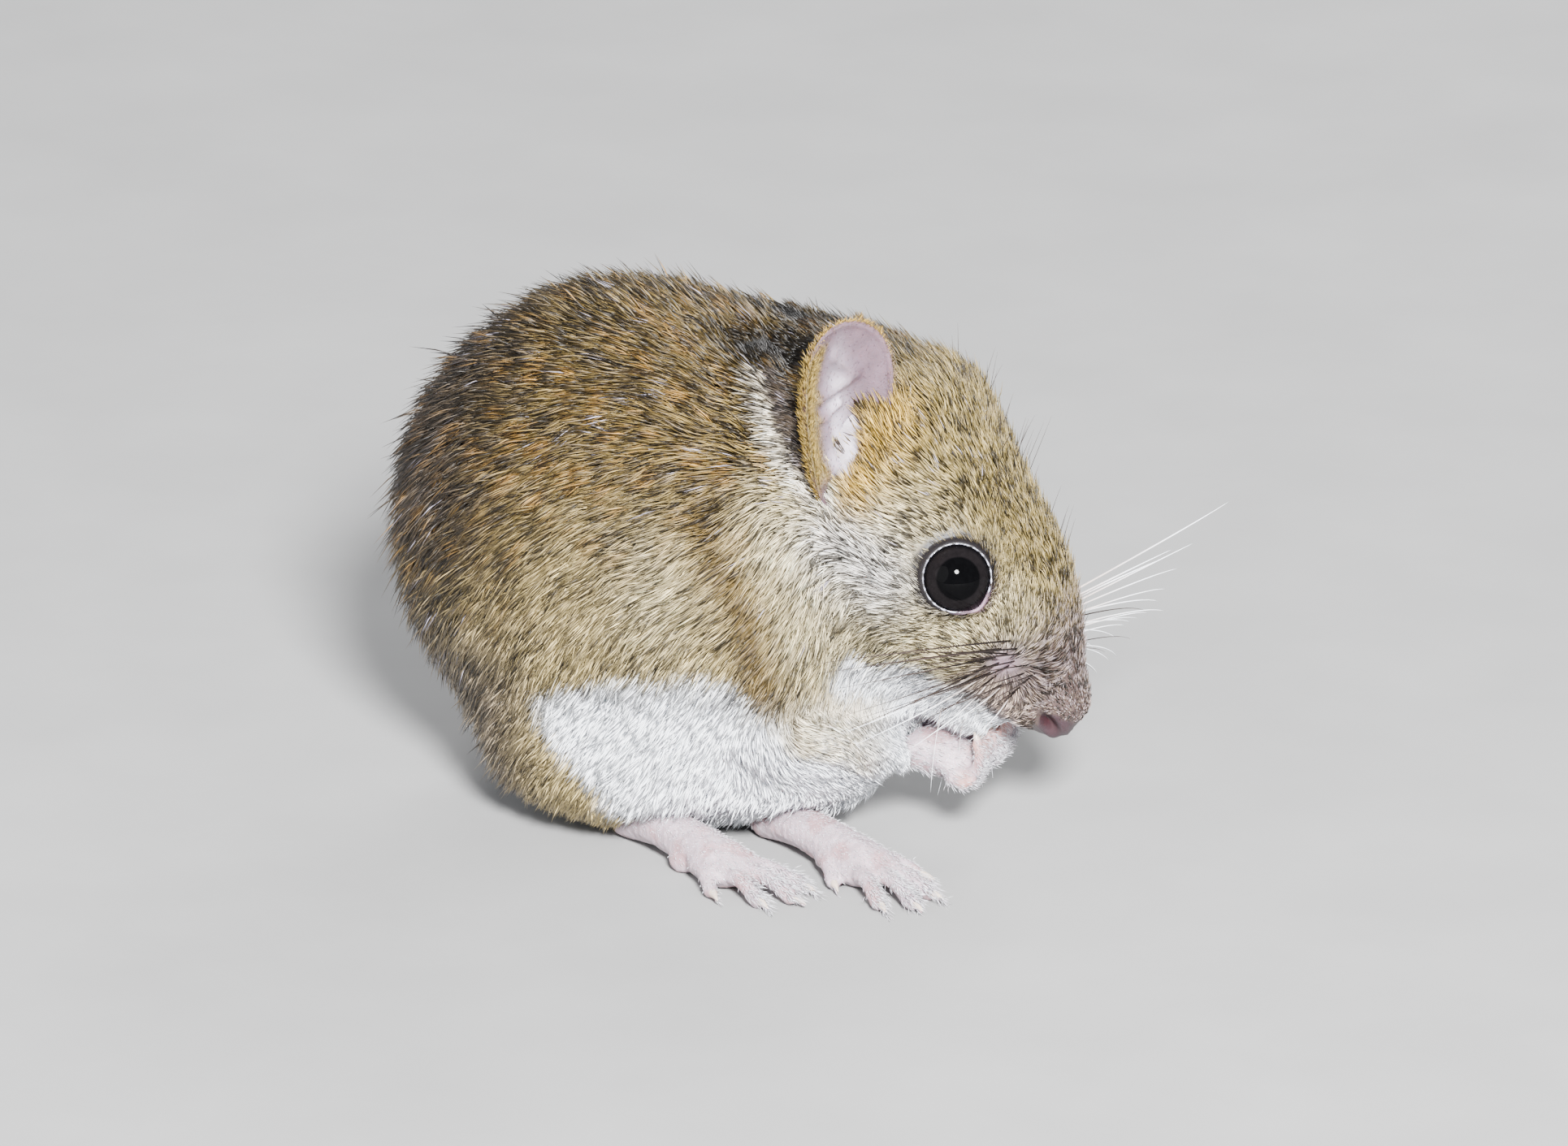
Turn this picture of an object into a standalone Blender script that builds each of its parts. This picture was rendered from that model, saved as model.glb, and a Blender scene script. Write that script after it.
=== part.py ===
"""A chacoan pygmy rice rat, life size, sitting hunched on its hind feet with both hands at its mouth.

Blender 4.5 script. Lengths are in millimetres here and become metres where a shape is made. +Z is up, the
floor is z = 0, and the rat looks along +X, its head turned a little to its left and its hips to its right.
Its body is one blended form that thin cuts part into nodes, and each node keeps about 0.3 mm to the next.
"""

import math

import bmesh
import bpy
import numpy as np
from mathutils import Matrix, Vector

MM = 0.001
GAP = 0.3
SIDES = {"right": -1, "left": 1}

# Torso, as blended ellipsoids: centre, half sizes (along, across, up), heading and pitch in degrees
TORSO_FORMS = (
    ((-11.3, 1.3, 20.6), (20.7, 15.5, 19.4), -10, 0),
    ((-10.6, 0.8, 9.0), (14.6, 14.2, 10.2), -24, 0),
    ((-1.5, 1.5, 10.0), (11.0, 11.0, 9.2), -5, 20),
    ((3.0, 3.4, 13.0), (8.0, 8.6, 8.0), 5, 30),
    ((-1.0, -5.6, 14.0), (5.6, 5.0, 8.0), 5, 20),
    ((-1.0, 10.4, 14.0), (5.6, 5.0, 8.0), 5, 20),
)
NECK_POINTS = ((-8.0, 2.5, 25.8), (-1.5, 3.8, 27.0), (4.0, 4.5, 25.2))
NECK_RADII = (14.0, 11.8, 9.8)
HEAD_FACES, BODY_FACES = 6200, 3000

# Head: the nose tip's place, the turn of the head's own axes, and its outline behind the nose tip
NOSE = (21.6, 5.1, 10.5)
HEAD_HEADING, HEAD_PITCH, HEAD_ROLL = 5.0, 47.4, -10.0
HEAD_OUTLINE = (
    # behind the nose tip, half width, height above the axis, depth below it
    (0.0, 1.4, 0.6, 2.2),
    (0.7, 2.3, 1.3, 3.4),
    (2.0, 3.0, 2.0, 4.2),
    (4.5, 4.2, 4.0, 5.0),
    (8.0, 5.2, 6.3, 5.6),
    (12.0, 6.6, 7.6, 6.6),
    (16.0, 7.9, 8.4, 7.8),
    (20.0, 8.8, 9.4, 8.8),
    (24.0, 9.2, 10.1, 9.4),
    (27.5, 8.8, 8.8, 9.2),
    (31.0, 7.2, 6.4, 7.6),
    (34.0, 3.4, 3.4, 3.6),
)
# Fuller parts of the head, on both sides where they stand off the middle: centre, half sizes
HEAD_FORMS = (
    ((-4.8, 2.3, -1.8), (3.6, 2.3, 2.7)),
    ((-17.5, 4.4, -3.6), (7.0, 4.8, 5.4)),
    ((-14.2, 4.4, 1.8), (4.6, 3.3, 4.0)),
    ((-11.0, 3.4, -3.2), (5.6, 3.5, 4.4)),
    ((-8.2, 1.4, -5.8), (5.2, 2.2, 2.7)),
    ((-13.5, 2.6, -6.4), (5.5, 4.0, 3.6)),
    ((-1.1, 0.0, -1.4), (1.5, 2.2, 2.2)),
)
EYE_PLACE = (-14.0, 6.02, 1.0)
EYE_LOOK = (0.08, 0.93, 0.33)
EYE_RADIUS, EYE_GAP = 2.95, 0.25
LID_RADIUS, LID_THICKNESS = 2.86, 0.36
NOSTRIL_PLACE, NOSTRIL_SIZE = (-1.3, 1.5, -1.7), (0.75, 0.5, 0.42)
MOUTH_POINTS = ((-1.8, 0.0, -4.8), (-3.4, 1.7, -5.0), (-6.2, 2.9, -4.9), (-9.0, 3.9, -4.6))
PHILTRUM_POINTS = ((0.4, 0.0, -2.6), (-0.6, 0.0, -3.8), (-1.8, 0.0, -4.8))
MOUTH_RADIUS = 0.3

# Ear: its root, length, arc across, thickness, and the turns of the cup in the head's axes
EAR_PLACE = (-22.9, 6.9, -2.2)
EAR_LENGTH, EAR_WIDTH, EAR_THICKNESS = 15.0, 12.4, 0.6
EAR_LEAN = {"right": 47.0, "left": 86.0}
EAR_FLARE = {"right": 14.0, "left": 56.0}
EAR_FACING = 34.0

# Chest axes carry both arms: their origin on the floor and their heading
CHEST, CHEST_HEADING = (15.0, 4.5, 0.0), 5.0
ARM_POINTS = ((-17.0, 8.6, 14.0), (-14.2, 9.6, 10.2), (-10.2, 7.0, 8.5), (-7.6, 4.6, 7.7), (-5.8, 3.2, 7.3))
ARM_RADII = (3.8, 3.6, 3.0, 2.3, 1.5)
PALM_POINTS, PALM_RADII = ((-6.4, 3.4, 7.4), (-4.6, 2.2, 7.25), (-2.4, 1.85, 6.7)), (1.15, 1.7, 1.6)
FINGER_RADIUS = 0.48
FINGER_OUTS = (0.62, 1.58, 2.54, 3.4)

# Hind foot, from its heel on the floor: heel place, heading, length without claws
FOOT_HEEL = {"right": (-10.7, -5.4), "left": (-1.5, -1.2)}
FOOT_HEADING = -28.0
FOOT_LENGTH = 20.4
TOE_RADIUS = 0.72
CLAW_LENGTH, CLAW_RADIUS = 1.5, 0.34

# Tail: the middle line's place and the height of its underside, radii, and the share at each node's ends
TAIL_POINTS = (
    (-15.0, 4.0, 5.6), (-21.5, 8.5, 2.9), (-26.0, 14.5, 0.5), (-30.0, 20.5, -0.12), (-34.2, 27.5, -0.12),
    (-38.2, 37.5, -0.12), (-37.2, 49.0, -0.12), (-30.8, 59.0, -0.12), (-20.2, 64.0, -0.12),
    (-9.5, 61.5, -0.1), (-4.6, 54.0, -0.1), (-6.5, 45.5, -0.08),
)
TAIL_RADII = (2.4, 2.3, 1.9, 1.65, 1.52, 1.42, 1.3, 1.15, 1.0, 0.84, 0.68, 0.5)
TAIL_SHARES = (0.0, 0.36, 0.58, 0.8, 1.0)

# The parting of the body into nodes: ellipsoids in the head's axes and in the hips' axes
HEAD_REGION = ((-12.5, 0, 2.5), (17.2, 14.5, 12.8))
NECK_REGION = ((-17.0, 0, 0.0), (18.0, 17.0, 16.5))
HIPS, HIPS_HEADING = (-10.0, 1.0, 0.0), -28.0
THIGH_REGION = ((3.0, 10.8, 9.5), (11.0, 6.6, 9.0))


def millimetres(point):
    return Vector(point) * MM


def turned(heading=0.0, pitch=0.0, roll=0.0):
    """Axes turned by a heading to the left, then a pitch nose down, then a roll right side down."""
    return (
        Matrix.Rotation(math.radians(heading), 4, "Z")
        @ Matrix.Rotation(math.radians(pitch), 4, "Y")
        @ Matrix.Rotation(math.radians(roll), 4, "X")
    )


HEAD_AXES = turned(HEAD_HEADING, HEAD_PITCH, HEAD_ROLL)
HEAD_FRAME = Matrix.Translation(millimetres(NOSE)) @ HEAD_AXES
CHEST_FRAME = Matrix.Translation(millimetres(CHEST)) @ turned(CHEST_HEADING)
HIPS_AXES = turned(HIPS_HEADING)
HIPS_FRAME = Matrix.Translation(millimetres(HIPS)) @ HIPS_AXES


def placed(frame, point, side="left"):
    """A point in millimetres of some axes, mirrored for the right side, as a place in metres."""
    along, out, up = point
    return frame @ millimetres((along, SIDES[side] * out, up))


def add_object(name, bm):
    bmesh.ops.recalc_face_normals(bm, faces=bm.faces)
    mesh = bpy.data.meshes.new(name)
    bm.to_mesh(mesh)
    bm.free()
    made = bpy.data.objects.new(name, mesh)
    bpy.context.scene.collection.objects.link(made)
    return made


def ellipsoid(centre, half_sizes, axes=None, detail=3):
    """A closed ellipsoid. Its centre is a place in metres, its half sizes are in millimetres."""
    bm = bmesh.new()
    bmesh.ops.create_icosphere(bm, subdivisions=detail, radius=1.0)
    stretch = Matrix.Diagonal((*millimetres(half_sizes), 1.0))
    bmesh.ops.transform(bm, matrix=Matrix.Translation(centre) @ (axes or Matrix()) @ stretch, verts=bm.verts)
    return add_object("form", bm)


def spline(rows, at):
    """Catmull-Rom values of the rows of numbers at the share `at`, from 0 to 1, along them."""
    table = np.asarray(rows, float)
    place = at * (len(table) - 1)
    first = min(int(place), len(table) - 2)
    t = place - first
    p0, p1 = table[max(first - 1, 0)], table[first]
    p2, p3 = table[first + 1], table[min(first + 2, len(table) - 1)]
    return p1 + 0.5 * t * (p2 - p0 + t * (2 * p0 - 5 * p1 + 4 * p2 - p3 + t * (3 * (p1 - p2) + p3 - p0)))


def skin_rings(bm, rings):
    """Bridges rings of points into one closed tube and caps both ends."""
    made = [[bm.verts.new(point) for point in ring] for ring in rings]
    count = len(made[0])
    for near, far in zip(made, made[1:]):
        for i in range(count):
            bm.faces.new((near[i], near[(i + 1) % count], far[(i + 1) % count], far[i]))
    bm.faces.new(made[0])
    bm.faces.new(made[-1][::-1])


def tube(points, radii, sides=14, steps=None, flat=1.0, up=(0, 0, 1), span=(0.0, 1.0), round_ends=(True, True)):
    """A tube through places in metres, with radii in millimetres. flat scales it along up."""
    steps = steps or 5 * (len(points) - 1)
    rows = [(*point, radius * MM) for point, radius in zip(points, radii)]
    samples = [spline(rows, span[0] + (span[1] - span[0]) * i / steps) for i in range(steps + 1)]
    places = [Vector(row[:3]) for row in samples]
    widths = [float(row[3]) for row in samples]
    ahead = [(places[min(i + 1, steps)] - places[max(i - 1, 0)]).normalized() for i in range(steps + 1)]
    stations = list(zip(places, ahead, widths))
    for end, sense, wanted in ((0, -1, round_ends[0]), (-1, 1, round_ends[1])):
        for lift in (math.radians(angle) for angle in (28, 55, 80) if wanted):
            place = places[end] + sense * ahead[end] * widths[end] * math.sin(lift)
            station = (place, ahead[end], widths[end] * math.cos(lift))
            stations.insert(0 if sense < 0 else len(stations), station)
    bm = bmesh.new()
    rings = []
    for place, forward, width in stations:
        across = Vector(up).cross(forward).normalized()
        lift = forward.cross(across).normalized()
        turns = [2 * math.pi * (i + 0.5) / sides for i in range(sides)]
        rings.append([place + width * (across * math.cos(turn) + lift * flat * math.sin(turn)) for turn in turns])
    skin_rings(bm, rings)
    return add_object("form", bm)


def hoop(centre, look, radius, thickness, sides=8, steps=26):
    """A torus round the axis `look`. Centre in metres, sizes in millimetres."""
    bm = bmesh.new()
    turn_to = look.to_track_quat("Z", "Y").to_matrix()
    rings = []
    for i in range(steps):
        angle = 2 * math.pi * i / steps
        out = Vector((math.cos(angle), math.sin(angle), 0))
        turns = [2 * math.pi * k / sides for k in range(sides)]
        ring = [out * (radius + thickness * math.cos(t)) + Vector((0, 0, thickness * math.sin(t))) for t in turns]
        rings.append([bm.verts.new(centre + turn_to @ (point * MM)) for point in ring])
    for i in range(steps):
        near, far = rings[i], rings[(i + 1) % steps]
        for k in range(sides):
            bm.faces.new((near[k], near[(k + 1) % sides], far[(k + 1) % sides], far[k]))
    return add_object("form", bm)


def applied(thing):
    """Bakes the modifiers of an object into its mesh."""
    graph = bpy.context.evaluated_depsgraph_get()
    graph.update()
    mesh = bpy.data.meshes.new_from_object(thing.evaluated_get(graph))
    thing.modifiers.clear()
    thing.data = mesh
    return thing


def joined(name, pieces):
    """One object that holds the meshes of several, which are removed."""
    bm = bmesh.new()
    for piece in pieces:
        bm.from_mesh(piece.data)
        bpy.data.objects.remove(piece)
    return add_object(name, bm)


def thinned(thing, faces):
    """Takes a dense surface down to about so many triangles."""
    thin = thing.modifiers.new("thin out", "DECIMATE")
    thin.ratio = min(1.0, faces / (2 * len(thing.data.polygons)))
    return applied(thing)


def fused(name, pieces, voxel, rounds):
    """Blends overlapping closed forms into one smooth closed surface."""
    whole = joined(name, pieces)
    remesh = whole.modifiers.new("blend", "REMESH")
    remesh.mode = "VOXEL"
    remesh.voxel_size = voxel * MM
    smooth = whole.modifiers.new("soften", "SMOOTH")
    smooth.factor = 0.5
    smooth.iterations = rounds
    return applied(whole)


def copied(thing, name):
    made = thing.copy()
    made.data = thing.data.copy()
    made.name = name
    bpy.context.scene.collection.objects.link(made)
    return made


def grown(thing, by):
    """A copy whose surface stands out by so many millimetres."""
    made = copied(thing, "grown")
    push = made.modifiers.new("grow", "DISPLACE")
    push.direction = "NORMAL"
    push.mid_level = 0.0
    push.strength = by * MM
    return applied(made)


def combined(thing, tools, operation):
    """Cuts, joins or crops a closed object with others, one after another, and removes them."""
    for tool in tools:
        boolean = thing.modifiers.new(operation.lower(), "BOOLEAN")
        boolean.operation = operation
        boolean.object = tool
        applied(thing)
        bpy.data.objects.remove(tool)
    return largest_piece(thing)


def largest_piece(thing):
    """Keeps the largest closed surface of an object."""
    bm = bmesh.new()
    bm.from_mesh(thing.data)
    unseen = set(bm.verts)
    groups = []
    while unseen:
        stack = [unseen.pop()]
        group = set(stack)
        while stack:
            near = {vert for edge in stack.pop().link_edges for vert in edge.verts} & unseen
            unseen -= near
            group |= near
            stack.extend(near)
        groups.append(group)
    groups.sort(key=len, reverse=True)
    for group in groups[1:]:
        bmesh.ops.delete(bm, geom=list(group), context="VERTS")
    bm.to_mesh(thing.data)
    bm.free()
    return thing


def flattened(thing):
    """Cuts off what lies below the floor, which leaves a flat to rest on."""
    bm = bmesh.new()
    bmesh.ops.create_cube(bm, size=0.2)
    bmesh.ops.translate(bm, vec=(0, 0, -0.1), verts=bm.verts)
    return combined(thing, [add_object("under the floor", bm)], "DIFFERENCE")


def head_forms():
    """The head as one loft along its own axis, with fuller cheeks, brows, whisker pads, nose and lower jaw."""
    bm = bmesh.new()
    sides, steps = 28, 44
    rings = []
    for i in range(steps + 1):
        behind, half, above, below = (float(value) for value in spline(HEAD_OUTLINE, i / steps))
        ring = []
        for turn in (2 * math.pi * (k + 0.5) / sides for k in range(sides)):
            height = math.sin(turn) * (above if math.sin(turn) > 0 else below)
            ring.append(placed(HEAD_FRAME, (-behind, half * math.cos(turn), height)))
        rings.append(ring)
    skin_rings(bm, rings)
    forms = [add_object("form", bm)]
    for centre, half_sizes in HEAD_FORMS:
        for side in SIDES if centre[1] else ("left",):
            forms.append(ellipsoid(placed(HEAD_FRAME, centre, side), half_sizes, HEAD_AXES))
    return forms


def torso_forms():
    forms = [
        ellipsoid(millimetres(centre), half, turned(heading, pitch), detail=4)
        for centre, half, heading, pitch in TORSO_FORMS
    ]
    forms.append(tube([millimetres(point) for point in NECK_POINTS], NECK_RADII, sides=28))
    return forms


def make_body():
    """Torso, neck and head as one dense blended surface."""
    trunk = fused("trunk", torso_forms(), voxel=0.8, rounds=40)
    return fused("body", [trunk, *head_forms()], voxel=0.5, rounds=12)


def on_surface(thing, place):
    """The place on an object's surface nearest to a place."""
    return thing.closest_point_on_mesh(place)[1]


def groove(thing, points, side, radius):
    """A tube that follows an object's surface, to cut a shallow groove with."""
    guide = [placed(HEAD_FRAME, tuple(float(v) for v in spline(points, i / 10)), side) for i in range(11)]
    places = [on_surface(thing, place) for place in guide]
    return tube(places, [radius] * 11, sides=8, steps=14, up=(0.3, 0.2, 1.0))


def make_face(head):
    """Lids, eye sockets, nostrils and the line of the mouth."""
    lids, cutters = [], []
    for side, sign in SIDES.items():
        look = (HEAD_AXES.to_3x3() @ Vector((EYE_LOOK[0], sign * EYE_LOOK[1], EYE_LOOK[2]))).normalized()
        eye = placed(HEAD_FRAME, EYE_PLACE, side)
        rise = math.sqrt(EYE_RADIUS**2 - (LID_RADIUS - LID_THICKNESS) ** 2)
        lids.append(hoop(eye + look * rise * MM, look, LID_RADIUS, LID_THICKNESS))
        cutters.append(ellipsoid(eye, (EYE_RADIUS + EYE_GAP,) * 3))
        nostril = on_surface(head, placed(HEAD_FRAME, NOSTRIL_PLACE, side))
        cutters.append(ellipsoid(nostril, NOSTRIL_SIZE, HEAD_AXES, detail=2))
        cutters.append(groove(head, MOUTH_POINTS, side, MOUTH_RADIUS))
    cutters.append(groove(head, PHILTRUM_POINTS, "left", MOUTH_RADIUS * 0.8))
    combined(head, lids, "UNION")
    return combined(head, cutters, "DIFFERENCE")


def make_eye(side):
    eye = ellipsoid(placed(HEAD_FRAME, EYE_PLACE, side), (EYE_RADIUS,) * 3)
    eye.name = "eye_" + side
    return eye


def ear_point(across, along):
    """A point of the ear's leaf, in millimetres: x across, y the way the cup faces, z from root to tip."""
    share = (along + 1) / 2
    width = across * (0.62 + 0.46 * share - 0.1 * share**2) * EAR_WIDTH / 2
    bend = 2.9 + 3.4 * share
    angle = width / bend
    return Vector((bend * math.sin(angle), bend * (1 - math.cos(angle)) - 1.4 * math.sin(math.pi * share), 0)) + Vector(
        (0, 0, share * EAR_LENGTH)
    )


def make_ear(side):
    """A thin cup: an egg-shaped leaf bent round its length, tightest at its root."""
    sign = SIDES[side]
    rings, spokes = 4, 20
    turn_to = (
        Matrix.Rotation(math.radians(-EAR_LEAN[side]), 4, "Y")
        @ Matrix.Rotation(math.radians(-sign * EAR_FLARE[side]), 4, "X")
        @ Matrix.Rotation(math.radians(sign * EAR_FACING - 90), 4, "Z")
    )
    matrix = Matrix.Translation(placed(HEAD_FRAME, EAR_PLACE, side)) @ HEAD_AXES @ turn_to
    leaf = bmesh.new()
    centre = leaf.verts.new(matrix @ (ear_point(0, 0) * MM))
    loops = []
    for reach in ((i + 1) / rings for i in range(rings)):
        turns = [2 * math.pi * k / spokes for k in range(spokes)]
        points = [ear_point(reach * math.sin(turn), reach * math.cos(turn)) * MM for turn in turns]
        loops.append([leaf.verts.new(matrix @ point) for point in points])
    for k in range(spokes):
        after = (k + 1) % spokes
        leaf.faces.new((centre, loops[0][k], loops[0][after]))
        for inner, outer in zip(loops, loops[1:]):
            leaf.faces.new((inner[k], outer[k], outer[after]))
            leaf.faces.new((inner[k], outer[after], inner[after]))
    ear = add_object("ear_" + side, leaf)
    thick = ear.modifiers.new("thickness", "SOLIDIFY")
    thick.thickness = EAR_THICKNESS * MM
    thick.offset = 0.0
    return applied(ear)


def make_claw(tip, ahead, length, radius):
    """A small hooked cone beyond the tip of a digit. Its places are in millimetres."""
    forward = Vector(ahead).normalized()
    start = Vector(tip) - forward * radius
    middle = Vector(tip) + forward * length * 0.45 + Vector((0, 0, length * 0.08))
    end = Vector(tip) + forward * length - Vector((0, 0, length * 0.1))
    points = [millimetres(point) for point in (start, middle, end)]
    return tube(points, (radius, radius * 0.8, 0.1), 6, steps=3, up=(0.1, 0.3, 1.0), round_ends=(False, False))


def foot_toes(outward):
    """(root, tip, radius) of the five toes, first to fifth, in the foot's own axes."""
    return (
        ((9.8, -1.5 * outward, 1.1), (12.8, -2.9 * outward, 0.56), TOE_RADIUS * 0.9),
        ((13.8, -1.4 * outward, 1.2), (18.1, -2.8 * outward, 0.58), TOE_RADIUS),
        ((14.5, -0.3 * outward, 1.3), (FOOT_LENGTH - 0.8, -0.9 * outward, 0.6), TOE_RADIUS),
        ((14.1, 0.9 * outward, 1.2), (18.6, 1.4 * outward, 0.58), TOE_RADIUS),
        ((11.4, 1.6 * outward, 1.1), (15.2, 3.0 * outward, 0.56), TOE_RADIUS * 0.9),
    )


def make_foot(side):
    """Heel, long instep, pads and five clawed toes, flat on the floor, with the ankle standing up from it."""
    instep = ((1.4, 0, 1.15), (6.0, 0, 1.9), (13.0, 0, 1.3))
    ankle = ((1.7, 0, 1.6), (1.5, 0, 3.4), (2.0, 0, 5.2))
    forms = [
        tube([millimetres(point) for point in instep], (1.5, 1.7, 2.0), flat=0.85),
        tube([millimetres(point) for point in ankle], (1.3, 1.3, 1.4), up=(1, 0, 0)),
        ellipsoid(millimetres((13.1, 0, 1.2)), (2.5, 2.45, 1.4)),
        ellipsoid(millimetres((9.4, 1.3 * SIDES[side], 0.8)), (1.3, 0.9, 0.9)),
    ]
    toes = foot_toes(SIDES[side])
    for root, tip, radius in toes:
        middle = (Vector(root) + Vector(tip)) / 2 + Vector((0, 0, 0.45))
        points = [millimetres(point) for point in (root, middle, tip)]
        forms.append(tube(points, (radius * 1.1, radius * 0.85, radius * 0.95), sides=10, steps=6))
    foot = thinned(fused("hind_foot_" + side, forms, voxel=0.26, rounds=4), 760)
    claws = [make_claw(tip, Vector(tip) - Vector(root), CLAW_LENGTH, CLAW_RADIUS) for root, tip, _ in toes]
    combined(foot, claws, "UNION")
    foot.data.transform(Matrix.Translation(millimetres((*FOOT_HEEL[side], 0))) @ turned(FOOT_HEADING))
    return flattened(foot)


def make_hand(side):
    """A palm and four curled fingers with small claws, held under the mouth."""
    forms = [tube([placed(CHEST_FRAME, point, side) for point in PALM_POINTS], PALM_RADII)]
    tips = []
    for out in FINGER_OUTS:
        path = ((-3.4, out, 6.9), (-1.5, out, 5.9), (-0.2, out, 7.0), (-0.4, out * 0.95 + 0.1, 8.8))
        radii = (FINGER_RADIUS * 1.2, FINGER_RADIUS * 1.15, FINGER_RADIUS, FINGER_RADIUS * 0.85)
        forms.append(tube([placed(CHEST_FRAME, point, side) for point in path], radii, sides=10, steps=9, up=(1, 0, 0.2)))
        tips.append(placed(CHEST_FRAME, path[-1], side) / MM)
    hand = thinned(fused("hand_" + side, forms, voxel=0.2, rounds=3), 560)
    return combined(hand, [make_claw(tip, (-0.35, 0, 1), 0.75, 0.24) for tip in tips], "UNION")


def make_arm(side):
    """Elbow and forearm out to the tips of the coat."""
    path = [placed(CHEST_FRAME, point, side) for point in ARM_POINTS]
    arm = fused("arm_" + side, [tube(path, ARM_RADII, sides=16)], voxel=0.4, rounds=4)
    return thinned(arm, 420)


def make_tail(index):
    """One length of the tail, with a narrow flat along its underside where it lies on the floor."""
    rows = [(x, y, lift + radius) for (x, y, lift), radius in zip(TAIL_POINTS, TAIL_RADII)]
    start, end = TAIL_SHARES[index], TAIL_SHARES[index + 1]
    last = index == len(TAIL_SHARES) - 2
    tail = tube(
        [millimetres(row) for row in rows],
        TAIL_RADII,
        sides=8,
        steps=10,
        span=(start, end if last else end - 0.0028),
        round_ends=(index == 0, last),
    )
    tail.name = "tail_%d" % (index + 1)
    return flattened(tail)


def cleared(thing, outside, *others):
    """Cuts the body's grown outside off an object, and more cutters after it."""
    return combined(thing, [copied(outside, "cutter"), *others], "DIFFERENCE")


def parting(region, frame, axes, side, by):
    """An ellipsoid that parts the body, grown or shrunk by so many millimetres."""
    centre, half_sizes = region
    return ellipsoid(placed(frame, centre, side), [half + by for half in half_sizes], axes)


def split(whole, name, region, frame, axes, side="left"):
    """Takes the part of an object inside a region as a node of its own, with a gap between the two."""
    inside = copied(whole, name)
    combined(inside, [parting(region, frame, axes, side, -GAP / 2)], "INTERSECT")
    combined(whole, [parting(region, frame, axes, side, GAP / 2)], "DIFFERENCE")
    return inside


def coloured(name, colour, roughness):
    """A plain Principled material."""
    made = bpy.data.materials.new(name)
    made.use_nodes = True
    shader = made.node_tree.nodes["Principled BSDF"]
    shader.inputs["Base Color"].default_value = (*colour, 1.0)
    shader.inputs["Roughness"].default_value = roughness
    return made


def coat_material():
    return coloured("coat", (0.36, 0.27, 0.15), 0.85)


def skin_material():
    return coloured("bare_skin", (0.72, 0.47, 0.42), 0.55)


def ear_material():
    return coloured("ear_skin", (0.5, 0.38, 0.35), 0.6)


def eye_material():
    return coloured("eye_dark", (0.012, 0.01, 0.01), 0.06)


def centred(things):
    """Moves everything so that the middle of the bounding box stands over the origin."""
    corners = [vert.co for thing in things for vert in thing.data.vertices]
    low = Vector(min(corner[axis] for corner in corners) for axis in range(3))
    high = Vector(max(corner[axis] for corner in corners) for axis in range(3))
    shift = Vector((-(low.x + high.x) / 2, -(low.y + high.y) / 2, -low.z))
    for thing in things:
        thing.data.transform(Matrix.Translation(shift))


def make_part():
    body = make_body()
    fine = flattened(thinned(copied(body, "fine"), HEAD_FACES))
    rest = flattened(thinned(body, BODY_FACES))
    outside = grown(rest, GAP)
    feet = [make_foot(side) for side in SIDES]
    hands = [cleared(make_hand(side), outside) for side in SIDES]
    arms = [cleared(make_arm(side), outside, grown(hand, GAP)) for side, hand in zip(SIDES, hands)]
    ears = [cleared(make_ear(side), outside) for side in SIDES]
    tail = [make_tail(index) for index in range(len(TAIL_SHARES) - 1)]
    cleared(tail[0], outside)
    bpy.data.objects.remove(outside)
    head = combined(fine, [parting(HEAD_REGION, HEAD_FRAME, HEAD_AXES, "left", -GAP / 2)], "INTERSECT")
    head.name = "head"
    make_face(head)
    combined(rest, [parting(HEAD_REGION, HEAD_FRAME, HEAD_AXES, "left", GAP / 2)], "DIFFERENCE")
    combined(rest, [thinned(grown(foot, 1.5 * GAP), 400) for foot in feet], "DIFFERENCE")
    neck = split(rest, "neck", NECK_REGION, HEAD_FRAME, HEAD_AXES)
    thighs = [split(rest, "thigh_" + side, THIGH_REGION, HIPS_FRAME, HIPS_AXES, side) for side in SIDES]
    rest.name = "torso"
    eyes = [make_eye(side) for side in SIDES]
    for things, made in (
        ([head, neck, rest, *thighs, *arms], coat_material()),
        ([*hands, *feet, *tail], skin_material()),
        (ears, ear_material()),
        (eyes, eye_material()),
    ):
        for thing in things:
            thing.data.materials.clear()
            thing.data.materials.append(made)
    centred([head, neck, rest, *thighs, *arms, *hands, *feet, *tail, *ears, *eyes])


def main():
    for thing in list(bpy.data.objects):
        bpy.data.objects.remove(thing)
    make_part()


main()
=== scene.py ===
"""The looks of a chacoan pygmy rice rat, life size: skin, a coat of solid tufts, eyes, ears, paws, claws, whiskers
and tail, on a plain pale floor.

Lengths are in millimetres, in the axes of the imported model, and become metres where a mesh is made. Places on the
head are given in its own axes: along (ahead of the nose tip), out (to its left) and up. Places that the model's
source names before it centres the rat are moved by SHIFT.
"""

import math

import bmesh
import bpy
import numpy as np
from mathutils import Matrix, Vector
from mathutils.bvhtree import BVHTree
from mathutils.kdtree import KDTree


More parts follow.
